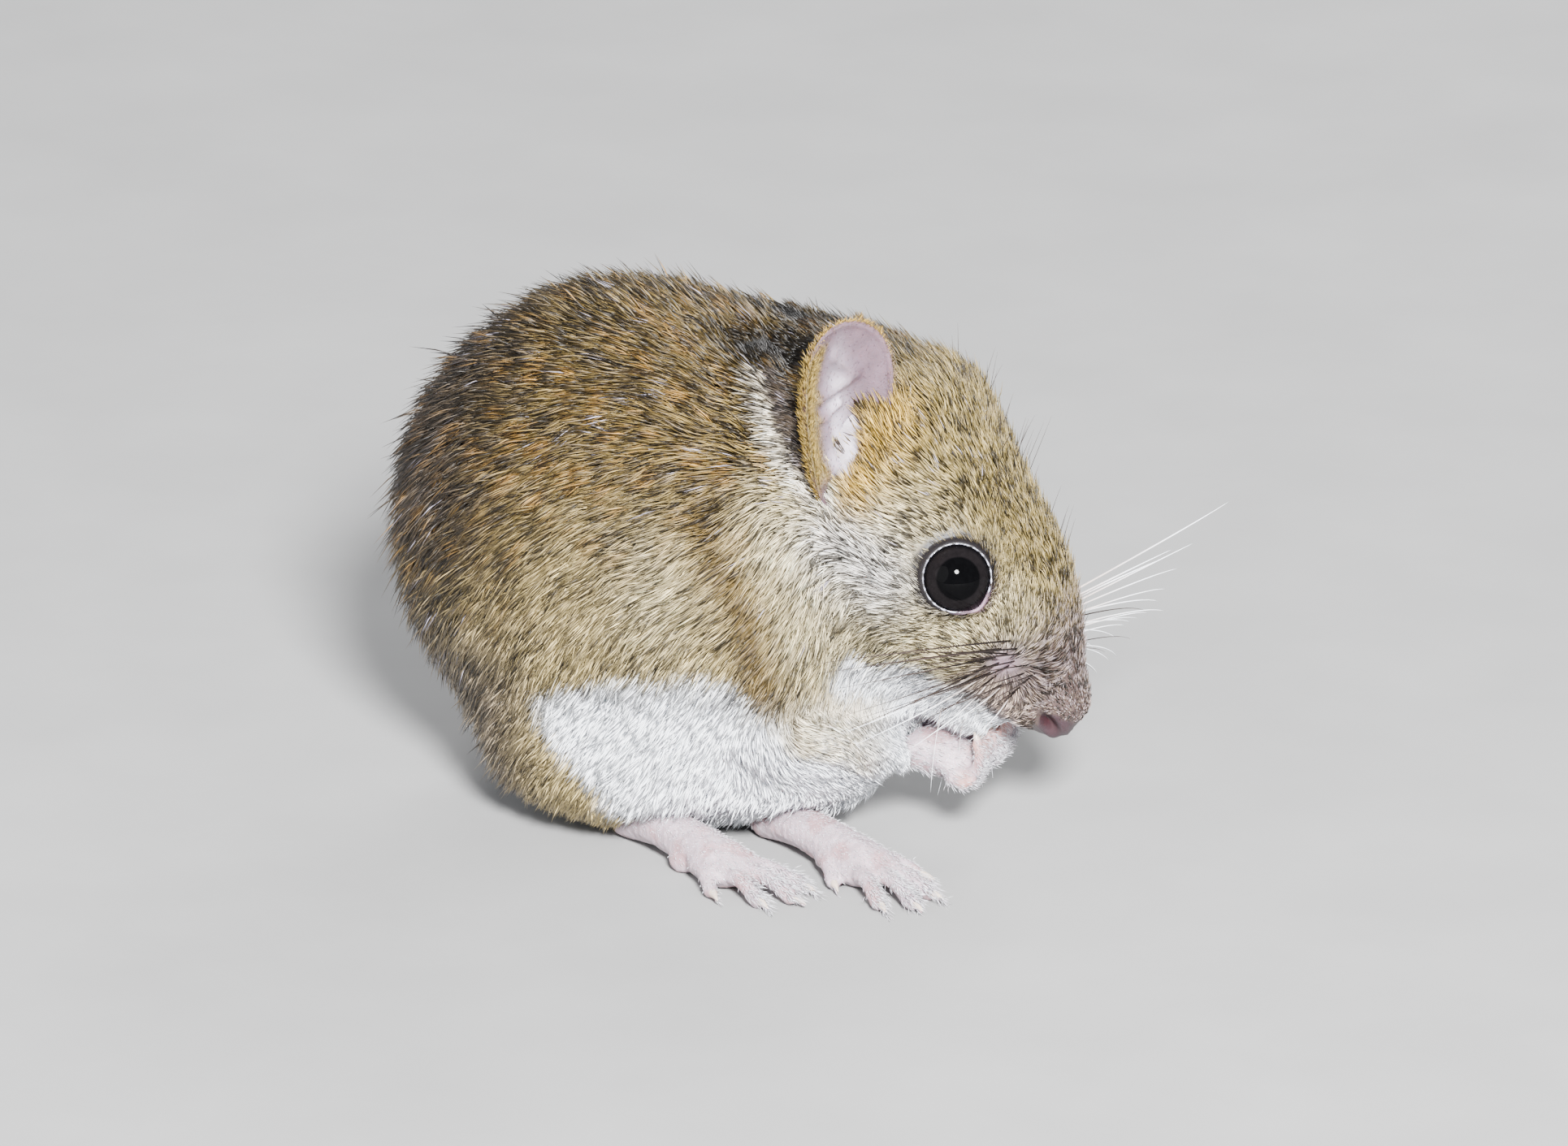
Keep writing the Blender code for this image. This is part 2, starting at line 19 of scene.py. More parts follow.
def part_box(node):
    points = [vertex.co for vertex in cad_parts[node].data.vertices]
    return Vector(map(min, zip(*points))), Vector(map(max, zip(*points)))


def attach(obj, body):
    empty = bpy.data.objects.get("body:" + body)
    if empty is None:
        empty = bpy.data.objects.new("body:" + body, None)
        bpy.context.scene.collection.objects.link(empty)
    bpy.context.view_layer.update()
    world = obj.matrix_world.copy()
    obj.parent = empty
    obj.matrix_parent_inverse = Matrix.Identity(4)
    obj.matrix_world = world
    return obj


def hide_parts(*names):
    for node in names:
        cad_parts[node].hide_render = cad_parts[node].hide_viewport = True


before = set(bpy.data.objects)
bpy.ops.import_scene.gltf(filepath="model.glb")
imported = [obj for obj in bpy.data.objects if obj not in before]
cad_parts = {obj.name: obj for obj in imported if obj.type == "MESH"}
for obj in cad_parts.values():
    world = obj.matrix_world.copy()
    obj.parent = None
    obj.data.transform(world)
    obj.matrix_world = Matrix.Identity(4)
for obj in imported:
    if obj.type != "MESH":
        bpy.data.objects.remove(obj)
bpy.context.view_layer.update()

MM = 0.001
RANDOM = np.random.default_rng(11)
uniform, normal = RANDOM.uniform, RANDOM.normal
SIDES = {"right": -1, "left": 1}

# Head: the turns of its own axes in degrees, the place of the nose tip in the source's axes, and the eyes
HEAD_TURNS = (("Z", 5.0), ("Y", 47.4), ("X", -10.0))
NOSE = (21.6, 5.1, 10.5)
EYE_ALONG, EYE_UP = -14.0, 1.0
EYE_LOOK = (0.08, 0.93, 0.33)
EYE_RADIUS, EYE_OPENING = 2.95, 2.38
EYES_INNER = (0, 0, -2.5)
CANTHUS, CANTHUS_WIDTH = 0.3, 0.34
LID_FALL = 0.62

# Skin
FLESH = ("head", "neck", "torso", "thigh_right", "thigh_left", "arm_right", "arm_left")
SEAM_GROWTH = 0.22
SKIN_VOXEL, HAND_VOXEL, FOOT_VOXEL = 0.36, 0.13, 0.17
COAT_DEPTH = 0.36
MIDPLANE = -23.0

# Ear: as in the source, with a finer skin
EAR_PLACE = (-22.9, 6.9, -2.2)
EAR_LENGTH, EAR_WIDTH, EAR_THICKNESS = 15.0, 12.4, 0.4
EAR_LEAN = {"right": 47.0, "left": 86.0}
EAR_FLARE = {"right": 14.0, "left": 56.0}
EAR_FACING = 34.0
EAR_BEAD, EAR_BEAD_WIDTH = 0.975, 0.035

# Arms, paws and tail, in the source's axes
CHEST, CHEST_HEADING = (15.0, 4.5, 0.0), 5.0
ARM_POINTS = ((-17.0, 8.6, 14.0), (-14.2, 9.6, 10.2), (-10.2, 7.0, 8.5), (-7.6, 4.6, 7.7), (-5.8, 3.2, 7.3))
FOOT_HEADING = -28.0
FOOT_HEEL = {"right": (-10.7, -5.4), "left": (-1.5, -1.2)}
FINGER_OUTS = (0.62, 1.58, 2.54, 3.4)
TAIL_ROOT = (-24.0, 8.5, 3.0)
TAIL_POINTS = (
    (-15.0, 4.0, 5.6), (-21.5, 8.5, 2.9), (-26.0, 14.5, 0.5), (-30.0, 20.5, -0.12), (-34.2, 27.5, -0.12),
    (-38.2, 37.5, -0.12), (-37.2, 49.0, -0.12), (-30.8, 59.0, -0.12), (-20.2, 64.0, -0.12),
    (-9.5, 61.5, -0.1), (-4.6, 54.0, -0.1), (-6.5, 45.5, -0.08),
)
TAIL_RADII = (2.4, 2.3, 1.9, 1.65, 1.52, 1.42, 1.3, 1.15, 1.0, 0.84, 0.68, 0.5)
SCALE_ROW, SCALE_RELIEF = 0.78, 0.035

# Camera: from the right eye to the point in the middle of the view, and the width of the view there
CAMERA_AZIMUTH, CAMERA_ELEVATION, CAMERA_DISTANCE = 25.0, 20.0, 1.2
EYE_TO_TARGET = (-14.15, 1.33, -2.37)
VIEW_WIDTH = 113.53
SENSOR = 36.0


def linear(*screen):
    """A colour given as 0 to 255 on a screen, as linear light."""
    return np.array([((value / 255 + 0.055) / 1.055) ** 2.4 for value in screen])


BROWN = linear(116, 97, 53)
RUST = linear(142, 103, 43)
UMBER = linear(66, 57, 52)
OCHRE = linear(178, 144, 60)
FAWN = linear(172, 153, 104)
STRAW = linear(188, 174, 134)
CREASE = linear(98, 78, 38)
OLIVE = linear(134, 117, 69)
CREAM = linear(232, 221, 200)
ASH = linear(222, 219, 220)
WHITE = linear(246, 249, 255)
GLINT = linear(184, 176, 190)
SOOT = linear(18, 14, 12)
MUZZLE = linear(79, 62, 60)
FROST = linear(188, 172, 180)
PALE_LIP = linear(216, 190, 170)
SHADE = linear(100, 89, 82)
LILAC = linear(132, 104, 120)
PINK = linear(50, 32, 38)
ROSE = linear(40, 8, 14)
LID = linear(30, 22, 30)
LID_SHINE = linear(214, 214, 236)
PUPIL, IRIS, EYE_EDGE = linear(1, 1, 2), linear(16, 14, 15), linear(3, 2, 4)
PAW = linear(166, 148, 156)
FLUSH = linear(156, 110, 110)
PEACH = linear(178, 128, 112)
CLAW = linear(196, 178, 164)
EAR = linear(98, 79, 89)
EAR_BACK_TINT = np.array((0.72, 0.6, 0.5))
EAR_SHINE = linear(196, 186, 200)
TAIL_TOP = linear(96, 79, 69)
TAIL_UNDER = linear(152, 132, 122)
DARK_WHISKER = (linear(20, 15, 14), linear(52, 42, 38))
PALE_WHISKER = (linear(190, 176, 170), WHITE)


def turned(*steps):
    """A turn made of steps, each an axis and an angle in degrees."""
    turn = Matrix.Identity(3)
    for axis, angle in steps:
        turn = turn @ Matrix.Rotation(math.radians(angle), 3, axis)
    return np.array(turn)


def middle(node):
    """The middle of a node's box, in millimetres."""
    low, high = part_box(node)
    return np.array((low + high) / 2) / MM


HEAD_TURN = turned(*HEAD_TURNS)
HEAD_PLACE = (middle("eye_right") + middle("eye_left")) / 2 - HEAD_TURN @ (EYE_ALONG, 0, EYE_UP)
SHIFT = HEAD_PLACE - NOSE
CHEST_TURN = turned(("Z", CHEST_HEADING))


def to_head(points):
    return (points - HEAD_PLACE) @ HEAD_TURN


def from_head(points):
    return np.asarray(points, float) @ HEAD_TURN.T + HEAD_PLACE


def sided(points, side):
    """Points given for the left side, mirrored for the right."""
    return np.asarray(points, float) * (1, SIDES[side], 1)


def from_chest(point, side):
    return CHEST_TURN @ sided(point, side) + CHEST + SHIFT


def norm(vectors):
    return np.linalg.norm(vectors, axis=-1)


def unit(vectors):
    return vectors / np.maximum(np.linalg.norm(vectors, axis=-1, keepdims=True), 1e-9)


def ramp(low, high, value):
    """A smooth rise from 0 at low to 1 at high."""
    share = np.clip((value - low) / (high - low), 0.0, 1.0)
    return share * share * (3 - 2 * share)


def bump(distance, width):
    return np.exp(-((distance / width) ** 2))


def mix(first, second, share):
    """Rows of the first colour or vector that turn into the second by a share for each row."""
    return first + (second - first) * np.asarray(share)[..., None]


def layered(colour, *layers):
    """Colours under layers, each a colour and its share."""
    for tone, share in layers:
        colour = mix(colour, tone, share)
    return colour


def looked_up(rows, value):
    return np.interp(value, *np.array(rows, float).T)


def ripple(points, size, seed):
    """Smooth noise from -1 to 1 with features about `size` across."""
    waves = np.random.default_rng(seed)
    total = np.zeros(len(points))
    for _ in range(6):
        direction = unit(waves.normal(size=3)) * (2 * math.pi / size) * waves.uniform(0.6, 1.5)
        total += np.sin(points @ direction + waves.uniform(0, 2 * math.pi))
    return total / 3.2


def spline(rows, at):
    """Catmull-Rom values of the rows of numbers at the share `at`, from 0 to 1, along them."""
    table = np.asarray(rows, float)
    place = at * (len(table) - 1)
    first = min(int(place), len(table) - 2)
    t = place - first
    p0, p1, p2, p3 = (table[np.clip(first + k, 0, len(table) - 1)] for k in (-1, 0, 1, 2))
    return p1 + 0.5 * t * (p2 - p0 + t * (2 * p0 - 5 * p1 + 4 * p2 - p3 + t * (3 * (p1 - p2) + p3 - p0)))


def along_path(points, path):
    """How far each point is from a path, its share along it, and the way that the path runs there."""
    path = np.asarray(path, float)
    best = np.full(len(points), 1e9)
    share = np.zeros(len(points))
    way = np.zeros((len(points), 3))
    for i, (start, end) in enumerate(zip(path, path[1:])):
        step = end - start
        t = np.clip((points - start) @ step / (step @ step), 0, 1)
        distance = norm(points - start - t[:, None] * step)
        near = distance < best
        best[near] = distance[near]
        share[near] = (i + t[near]) / (len(path) - 1)
        way[near] = step / np.linalg.norm(step)
    return best, share, way


# Meshes


def add_object(name, data):
    made = bpy.data.objects.new(name, data)
    bpy.context.scene.collection.objects.link(made)
    return made


def add_mesh(name, points, faces):
    """A smooth object from points in millimetres and rows of faces with as many corners each."""
    mesh = bpy.data.meshes.new(name)
    faces = np.asarray(faces, np.int32)
    count, corners = faces.shape
    mesh.vertices.add(len(points))
    mesh.vertices.foreach_set("co", (np.asarray(points) * MM).astype(np.float32).ravel())
    mesh.loops.add(count * corners)
    mesh.loops.foreach_set("vertex_index", faces.ravel())
    mesh.polygons.add(count)
    mesh.polygons.foreach_set("loop_start", np.arange(0, count * corners, corners, dtype=np.int32))
    mesh.polygons.foreach_set("use_smooth", np.full(count, True))
    mesh.update(calc_edges=True)
    return add_object(name, mesh)


def add_bmesh(name, bm):
    mesh = bpy.data.meshes.new(name)
    bm.to_mesh(mesh)
    bm.free()
    return add_object(name, mesh)


def paint(thing, tones):
    """A colour for each point of a mesh, which its material reads by name."""
    layer = thing.data.attributes.new("tone", "FLOAT_COLOR", "POINT")
    rows = np.hstack([tones, np.ones((len(tones), 1))])
    layer.data.foreach_set("color", rows.astype(np.float32).ravel())


def set_uv(thing, corners):
    layer = thing.data.uv_layers.new(name="OFBake")
    layer.data.foreach_set("uv", corners.astype(np.float32).ravel())


def read(rows, name, width, kind=np.float32):
    """One property of all the rows of a mesh's table."""
    values = np.empty(len(rows) * width, kind)
    rows.foreach_get(name, values)
    return values.reshape(-1, width)


def points_of(thing):
    return read(thing.data.vertices, "co", 3).astype(float) / MM


def normals_of(thing):
    return read(thing.data.vertex_normals, "vector", 3).astype(float)


def move_points(thing, points):
    thing.data.vertices.foreach_set("co", (points * MM).astype(np.float32).ravel())
    thing.data.update()


def modified(thing, **modifiers):
    """Bakes modifiers, each given by its type and settings, into a mesh."""
    for kind, settings in modifiers.items():
        made = thing.modifiers.new(kind, kind)
        for key, value in settings.items():
            setattr(made, key, value)
    graph = bpy.context.evaluated_depsgraph_get()
    graph.update()
    mesh = bpy.data.meshes.new_from_object(thing.evaluated_get(graph))
    thing.modifiers.clear()
    thing.data = mesh
    mesh.name = thing.name
    mesh.materials.clear()
    mesh.shade_smooth()
    return thing


def softened(rounds):
    return {"factor": 0.5, "iterations": rounds}


def in_triangles(thing):
    return modified(thing, TRIANGULATE={"quad_method": "SHORTEST_DIAGONAL"})


def weld(bm, distance):
    bmesh.ops.remove_doubles(bm, verts=bm.verts, dist=distance)
    bmesh.ops.recalc_face_normals(bm, faces=bm.faces)


def blended_skin(name, nodes, voxel, rounds, growth=0.0, extra=()):
    """One closed even surface of the named solids, grown, with balls added, and softened."""
    bm = bmesh.new()
    for node in nodes:
        bm.from_mesh(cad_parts[node].data)
    weld(bm, 2e-6)
    bm.normal_update()
    for vert in bm.verts:
        vert.co += vert.normal * growth * MM
    for centre, radius in extra:
        place = Matrix.Translation(Vector(centre) * MM)
        bmesh.ops.create_icosphere(bm, subdivisions=4, radius=radius * MM, matrix=place)
    remesh = {"mode": "VOXEL", "voxel_size": voxel * MM}
    return modified(add_bmesh(name, bm), REMESH=remesh, SMOOTH=softened(rounds))


def edited(thing, change):
    """Changes a mesh by a rule that takes it as a bmesh."""
    bm = bmesh.new()
    bm.from_mesh(thing.data)
    change(bm)
    bm.to_mesh(thing.data)
    bm.free()
    thing.data.shade_smooth()


def refined(thing, chosen, rounds):
    """Divides the faces round chosen places, a rule that says for each point if it is near them."""

    def divide(bm):
        near = chosen(np.array([vert.co for vert in bm.verts]) / MM)
        bm.verts.ensure_lookup_table()
        edges = [edge for edge in bm.edges if near[edge.verts[0].index] and near[edge.verts[1].index]]
        bmesh.ops.subdivide_edges(bm, edges=edges, cuts=1, smooth=0.0, use_grid_fill=True)

    for _ in range(rounds):
        edited(thing, divide)


def circle(count):
    """The numbers of a ring's points, those of the points after them, and their angles."""
    k = np.arange(count)
    return k, (k + 1) % count, 2 * math.pi * k / count


def rings(path, first, second, turns, radii):
    """A ring of points round each place of a path, in the plane of two directions."""
    ring = first[:, None] * np.cos(turns)[:, None] + second[..., None, :] * np.sin(turns)[:, None]
    return (path[:, None] + ring * radii[:, None, None]).reshape(-1, 3)


def strips(count, sides, closed=False):
    """Quads from ring to ring, and from the last to the first where they close."""
    k, after, _ = circle(sides)
    starts = (np.arange(count if closed else count - 1) * sides)[:, None]
    ends = (starts + sides) % (count * sides)
    return np.stack([starts + k, starts + after, ends + after, ends + k], -1).reshape(-1, 4)


def tube(path, radii, sides, up=(0, 0, 1)):
    """Points and triangles of a tube along a path, closed at its two ends with a point each."""
    ahead = unit(np.gradient(path, axis=0))
    across = unit(np.cross(np.broadcast_to(up, path.shape), ahead))
    k, after, turns = circle(sides)
    points = rings(path, across, np.cross(ahead, across), turns, radii)
    quads = strips(len(path), sides)
    count = len(points)
    last = count - sides
    caps = [np.stack([0 * k + count, after, k], -1), np.stack([0 * k + count + 1, last + k, last + after], -1)]
    points = np.vstack([points, points[:sides].mean(0), points[last:].mean(0)])
    return points, np.vstack([quads[:, [0, 1, 2]], quads[:, [0, 2, 3]], *caps])


def joined(parts):
    """The points and the triangles of several meshes as those of one."""
    starts = np.cumsum([0] + [len(points) for points, _ in parts])
    triangles = [faces + start for (_, faces), start in zip(parts, starts)]
    return np.vstack([points for points, _ in parts]), np.vstack(triangles)


# Materials


def flesh(weight, *reach):
    """Sockets of soft skin: how much light goes in, and how far red, green and blue go, in millimetres."""
    radius = [value * MM for value in reach]
    return {"Subsurface Weight": weight, "Subsurface Radius": radius, "Subsurface Scale": 1.0}


MATERIALS = {
    # name: roughness; the range, scale and detail of the noise in its tones; its bumps: their pattern, its scale
    # and detail, their strength and distance; and other sockets
    "coat": (0.42, (0.9, 1.1, 900, 3), None, {"Specular IOR Level": 0.45}),
    "fine_hair": (0.5, (0.9, 1.1, 900, 3), None, {"Specular IOR Level": 0.25}),
    "skin": (0.5, (0.84, 1.14, 1500, 3), ("cells", 4200, 0, 0.35, 0.00008), flesh(0.18, 1.2, 0.5, 0.3)),
    "paw_skin": (0.45, (0.84, 1.14, 1500, 3), ("cells", 5200, 0, 0.5, 0.00008), flesh(0.18, 1.2, 0.5, 0.3)),
    "ear_skin": (
        0.42, (0.82, 1.14, 1100, 3), ("noise", 6500, 4, 0.35, 0.0001),
        {**flesh(0.3, 1.4, 0.6, 0.4), "Coat Weight": 0.4, "Coat Roughness": 0.3},
    ),
    "eye_dark": (0.03, (0.8, 1.2, 2600, 3), None, {"IOR": 1.13}),
    "lid_rim": (
        0.16, (0.8, 1.2, 3000, 3), ("noise", 5200, 2, 0.5, 0.0001), {"Coat Weight": 0.7, "Coat Roughness": 0.1},
    ),
    "claw": (0.3, (0.85, 1.1, 3000, 3), None, flesh(0.2, 0.8, 0.6, 0.4)),
    "tail_skin": (0.55, (0.82, 1.16, 1600, 3), ("cells", 3200, 0, 0.6, 0.00012), flesh(0.12, 1.0, 0.5, 0.3)),
    "pale_floor": (0.85, (0.26, 0.29, 60, 5), ("noise", 900, 3, 0.05, 0.0002), {}),
}


def add_node(tree, kind, sources=None, **settings):
    """A shader node with its sockets and settings set, and its sources linked."""
    made = tree.nodes.new("ShaderNode" + kind)
    for key, value in settings.items():
        socket = key.replace("_", " ")
        if socket in made.inputs:
            made.inputs[socket].default_value = value
        else:
            setattr(made, key, value)
    for key, source in (sources or {}).items():
        tree.links.new(source, made.inputs[key])
    return made.outputs


def pattern(tree, kind, scale, detail):
    """Noise, or the distance from the edges of cells, with `scale` features a metre of the object."""
    place = {"Vector": add_node(tree, "TexCoord")["Object"]}
    if kind == "cells":
        return add_node(tree, "TexVoronoi", place, feature="DISTANCE_TO_EDGE", Scale=scale)["Distance"]
    return add_node(tree, "TexNoise", place, Scale=scale, Detail=detail, Roughness=0.55)["Fac"]


def material(name, painted=True):
    """A material of the table, in tones painted on the points or in plain grey, varied by noise."""
    roughness, (low, high, *grain), bumps, sockets = MATERIALS[name]
    made = bpy.data.materials.new(name)
    made.use_nodes = True
    tree = made.node_tree
    shader = tree.nodes["Principled BSDF"].inputs
    for socket, value in {"Roughness": roughness, **sockets}.items():
        shader[socket].default_value = value
    noise = {"Value": pattern(tree, "noise", *grain)}
    tone = add_node(tree, "MapRange", noise, From_Min=0.3, From_Max=0.7, To_Min=low, To_Max=high)["Result"]
    if painted:
        sources = {0: add_node(tree, "Attribute", attribute_name="tone")["Color"], "Scale": tone}
        tone = add_node(tree, "VectorMath", sources, operation="SCALE")["Vector"]
    tree.links.new(tone, shader["Base Color"])
    if bumps:
        *surface, strength, distance = bumps
        height = {"Height": pattern(tree, *surface)}
        relief = add_node(tree, "Bump", height, Strength=strength, Distance=distance)["Normal"]
        tree.links.new(relief, shader["Normal"])
    return made


def dress(thing, made_of, slot, *nodes):
    """Gives a piece its material, puts it under the root and hides the nodes that it stands for; its slot is not
    used.
    """
    thing.data.materials.clear()
    thing.data.materials.append(made_of)
    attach(thing, "root")
    if nodes:
        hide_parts(*nodes)
    return thing


# The coat's length, lie and colours at any place: paths and places in the head's axes, for the left side

NOSTRIL = (-1.35, 2.4, -1.65)
PAD, PAD_REACH = (-6.7, 4.9, -0.8), 3.9
NOSE_PAD, NOSE_PAD_SIZE = (-0.7, 0.0, -2.0), (1.65, 3.4, 1.55)
EAR_FRONT = ((-23.5, 8.1, 0.2), (-24.2, 7.9, 1.9), (-25.9, 6.9, 5.2))
EAR_BOWL, BOWL_DEPTH = ((-26.3, 8.8, 2.2), (-24.3, 9.1, 0.1)), 1.8
EAR_LOBE = ((-27.2, 6.6, 2.4), (-25.6, 6.9, 1.8), (-24.6, 7.1, 0.6))
# The pocket behind the ear: a dent in the skin whose fur is painted nearly black as painted shade
EAR_POCKET_SHADE, NOTCH_DEPTH = ((-36.8, 3.6, -0.1), (-35.4, 2.4, 1.2), (-33.8, 3.4, 1.6)), 1.5
EAR_DENT_WIDTH = 1.9
NOTCH_FUR = ((-36.6, 3.4, 0.2), (-32.6, 2.6, 1.8))
EAR_HOLLOW = ((-33.0, 6.6, 0.3), (-30.4, 8.2, -0.3), (-27.9, 9.1, -1.1), (-25.2, 9.2, -1.2))
EAR_SWEEP = ((-22.2, 9.0, -1.2), (-23.8, 8.8, 2.2), (-25.4, 7.0, 5.4))
EAR_BACK = ((-34.8, 6.6, -0.5), (-33.4, 7.9, -1.2), (-30.2, 9.5, -2.0), (-26.4, 9.9, -2.4), (-24.4, 8.8, -2.1))
NAPE_DARK = ((-35.4, 5.0, -5.0), (-36.8, 4.0, -1.6))
CHEEK_PALE = ((-21.5, 9.0, -3.2), (-17.5, 8.5, -3.0))
LIP = ((-6.6, 4.1, -3.8), (-3.6, 3.5, -3.2))
MOUTH = ((-1.8, 0.0, -4.8), (-3.4, 1.7, -5.0), (-6.2, 2.9, -4.9), (-9.0, 3.9, -4.6))
PHILTRUM = ((0.4, 0.0, -2.2), (-0.6, 0.0, -3.8), (-1.8, 0.0, -4.8))
# Rows of two numbers, looked up by the first: hair lengths from the nose back, the crease behind the shoulder by
# height, and the heights of the belly's white by place along the body and of the jaw's along the head
HEAD_COAT = ((0, 0.5), (2, 1.0), (5, 1.6), (9, 1.9), (14, 2.0), (19, 2.3), (24, 2.8), (30, 3.6))
CREASE_LINE = ((14.5, 11.2), (20.5, 10.6), (24.7, 8.4), (27.5, 7.0))
WHITE_LINE = (
    (-16.0, 6.0), (-9.0, 8.0), (-5.8, 11.4), (-2.2, 13.5), (1.8, 14.6), (7.2, 15.6), (9.7, 14.4), (11.6, 11.2),
    (14.5, 8.4), (18.4, 6.7),
)
WHITE_JAW = ((-16.0, -11.0), (-12.8, -8.3), (-10.6, -5.6), (-7.0, -4.5), (-4.0, -4.0), (0.0, -3.7))
CHEST_WHITE = 8.3


def eye_axes(side):
    """The way that an eye looks, the way to its inner corner, and the way across both."""
    look = unit(HEAD_TURN @ sided(EYE_LOOK, side))
    inner = from_head(EYES_INNER) - middle("eye_" + side)
    inner = unit(inner - (inner @ look) * look)
    return look, inner, np.cross(look, inner)


def from_eye(points, side):
    """Distance from the eye's axis, height along it, and angle round it from the inner corner."""
    look, inner, sideways = eye_axes(side)
    v = points - middle("eye_" + side)
    height = v @ look
    radial = v - height[:, None] * look
    return norm(radial), height, np.arctan2(radial @ sideways, radial @ inner)


def round_eye(points, side, edge, width, lowest=-1):
    """1 on an eye and out to an edge round it, falling to 0 over about a width."""
    radius, height, _ = from_eye(points, side)
    return bump(np.maximum(radius - edge, 0), width) * (height > lowest)


def on_head(h):
    """1 on the head, falling to 0 behind the ears."""
    return ramp(-31.0, -25.0, h[:, 0]) * ramp(-14.0, -9.5, h[:, 2] + 0.28 * (h[:, 0] + 12))


def near_ears(h, path, width):
    """1 along a path on each side of the head, falling to 0 over about a width."""
    shares = [bump(along_path(h, sided(path, side))[0], width) for side in SIDES]
    return np.maximum(*shares)


def near_pad(h, side, width):
    return bump(norm(h - sided(PAD, side)), width)


def from_nostril(h, side, half_height):
    """How far a place is from the middle of a nostril's slit, for its half length or height."""
    along, _, up = (h - sided(NOSTRIL, side)).T
    return np.sqrt((along / 0.75) ** 2 + ((up + 0.28 * along) / half_height) ** 2)


def on_arms(points):
    """1 on the arms, and the share from the shoulder to the wrist."""
    share, place = np.zeros(len(points)), np.zeros(len(points))
    for side in SIDES:
        distance, at, _ = along_arm(points, side)
        near = ramp(5.0, 3.3, distance) * ramp(0.08, 0.32, at)
        place = np.where(near > share, at, place)
        share = np.maximum(share, near)
    return share, place


def along_arm(points, side):
    return along_path(points, [from_chest(point, side) for point in ARM_POINTS])


def coat_length(points):
    """The length of the coat's hairs."""
    h = to_head(points)
    along, _, up = h.T
    x, _, z = points.T
    head = looked_up(HEAD_COAT, -along)
    head += 1.2 * ramp(-3, -8, up) * ramp(-5, -10, along)
    for side in SIDES:
        head = head * (1 - 0.35 * round_eye(points, side, 2.6, 1.6))
    body = 3.7 + 0.9 * ramp(0, -20, x) - 0.8 * ramp(24, 10, z)
    share = on_head(h)
    length = body * (1 - share) + head * share
    length *= 1 - 0.6 * np.maximum(near_ears(h, EAR_HOLLOW, 1.6), near_ears(h, NOTCH_FUR, 2.2))
    length *= 1 + 0.3 * near_ears(h, EAR_FRONT, 1.6)
    length *= 1 - 0.85 * np.maximum(near_ears(h, EAR_BOWL, EAR_DENT_WIDTH), near_ears(h, EAR_LOBE, 1.4))
    arm, place = on_arms(points)
    length = length * (1 - arm) + (2.4 - 1.4 * place) * arm
    return length * (1 - 0.45 * ramp(7.0, 2.0, z))


def laid(way, normals):
    """Directions pressed flat on a surface."""
    return way - (way * normals).sum(1, keepdims=True) * normals


def coat_lie(points, normals):
    """The way that hairs lie: from the nose over the body to the root of the tail, and out from pads and eyes."""
    h = to_head(points)
    along, out, up = h.T
    from_source, from_sink = points - from_head((2.5, 0, -1.0)), points - (np.array(TAIL_ROOT) + SHIFT)
    way = from_source / (from_source**2).sum(1, keepdims=True)
    way = unit(way - from_sink / np.maximum((from_sink**2).sum(1, keepdims=True), 20))
    head = on_head(h)
    fall = (1 - head) * (0.45 + 0.75 * ramp(30, 12, points[:, 2]))
    way[:, 2] -= fall * (1 - 0.6 * ramp(0.5, 0.95, normals[:, 2]))
    for side in SIDES:
        from_pad = points - from_head(sided(PAD, side))
        pull = 3.0 * bump(norm(from_pad), PAD_REACH) * ramp(-0.4, 1.0, out * SIDES[side])
        way += unit(from_pad) * pull[:, None]
        look = eye_axes(side)[0]
        v = points - middle("eye_" + side)
        radial = unit(v - (v @ look)[:, None] * look)
        way += radial * (0.9 * round_eye(points, side, 2.6, 1.5))[:, None]
        distance, place, down_arm = along_arm(points, side)
        arm = ramp(5.0, 3.0, distance) * ramp(0.1, 0.3, place)
        way = mix(way, down_arm + np.array((0, 0, -0.25)), arm * 0.9)
    way[:, 2] -= 1.3 * head * ramp(-3.0, -5.5, up) * ramp(-2.0, -6.0, along)
    way = mix(way, HEAD_TURN @ (-0.85, 0.0, 0.5), 0.8 * near_ears(h, EAR_SWEEP, 2.6))
    for axis in range(3):
        way[:, axis] += 0.2 * ripple(points, 7.0, 3 + axis) + 0.2 * ripple(points, 2.4, 13 + axis)
    return unit(laid(way, normals))


def white_share(points):
    """1 where the coat is white: belly, throat, lower jaw and the undersides of the arms."""
    x, y, z = points.T
    along, _, up = to_head(points).T
    wave = 0.5 * ripple(points, 3.2, 21)
    belly = ramp(0.9, -0.9, z - looked_up(WHITE_LINE, x) + wave)
    behind = x + 6.0 - 0.7 * (12.0 - z)
    belly *= 1 - ramp(4.0, 9.0, np.abs(y - MIDPLANE)) * ramp(1.0, -1.0, behind + wave)
    throat = ramp(0.7, -0.7, up - looked_up(WHITE_JAW, along) + 0.6 * wave) * ramp(-18.5, -15.5, along)
    chest_out = ((points - CHEST - SHIFT) @ CHEST_TURN)[:, 1]
    throat *= ramp(CHEST_WHITE + 0.8, CHEST_WHITE - 0.8, np.abs(chest_out) + wave)
    for side in SIDES:
        distance, place, _ = along_arm(points, side)
        upper = z - 6.9 - 2.5 * ramp(0.6, 0.2, place)
        outer = chest_out * SIDES[side] - 4.6
        arm = ramp(4.6, 3.2, distance) * ramp(0.1, 0.25, place) * ramp(0.85, 0.5, place)
        throat *= 1 - arm * np.maximum(ramp(-0.6, 0.6, upper), ramp(-0.6, 0.6, outer))
    return np.maximum(belly, throat)


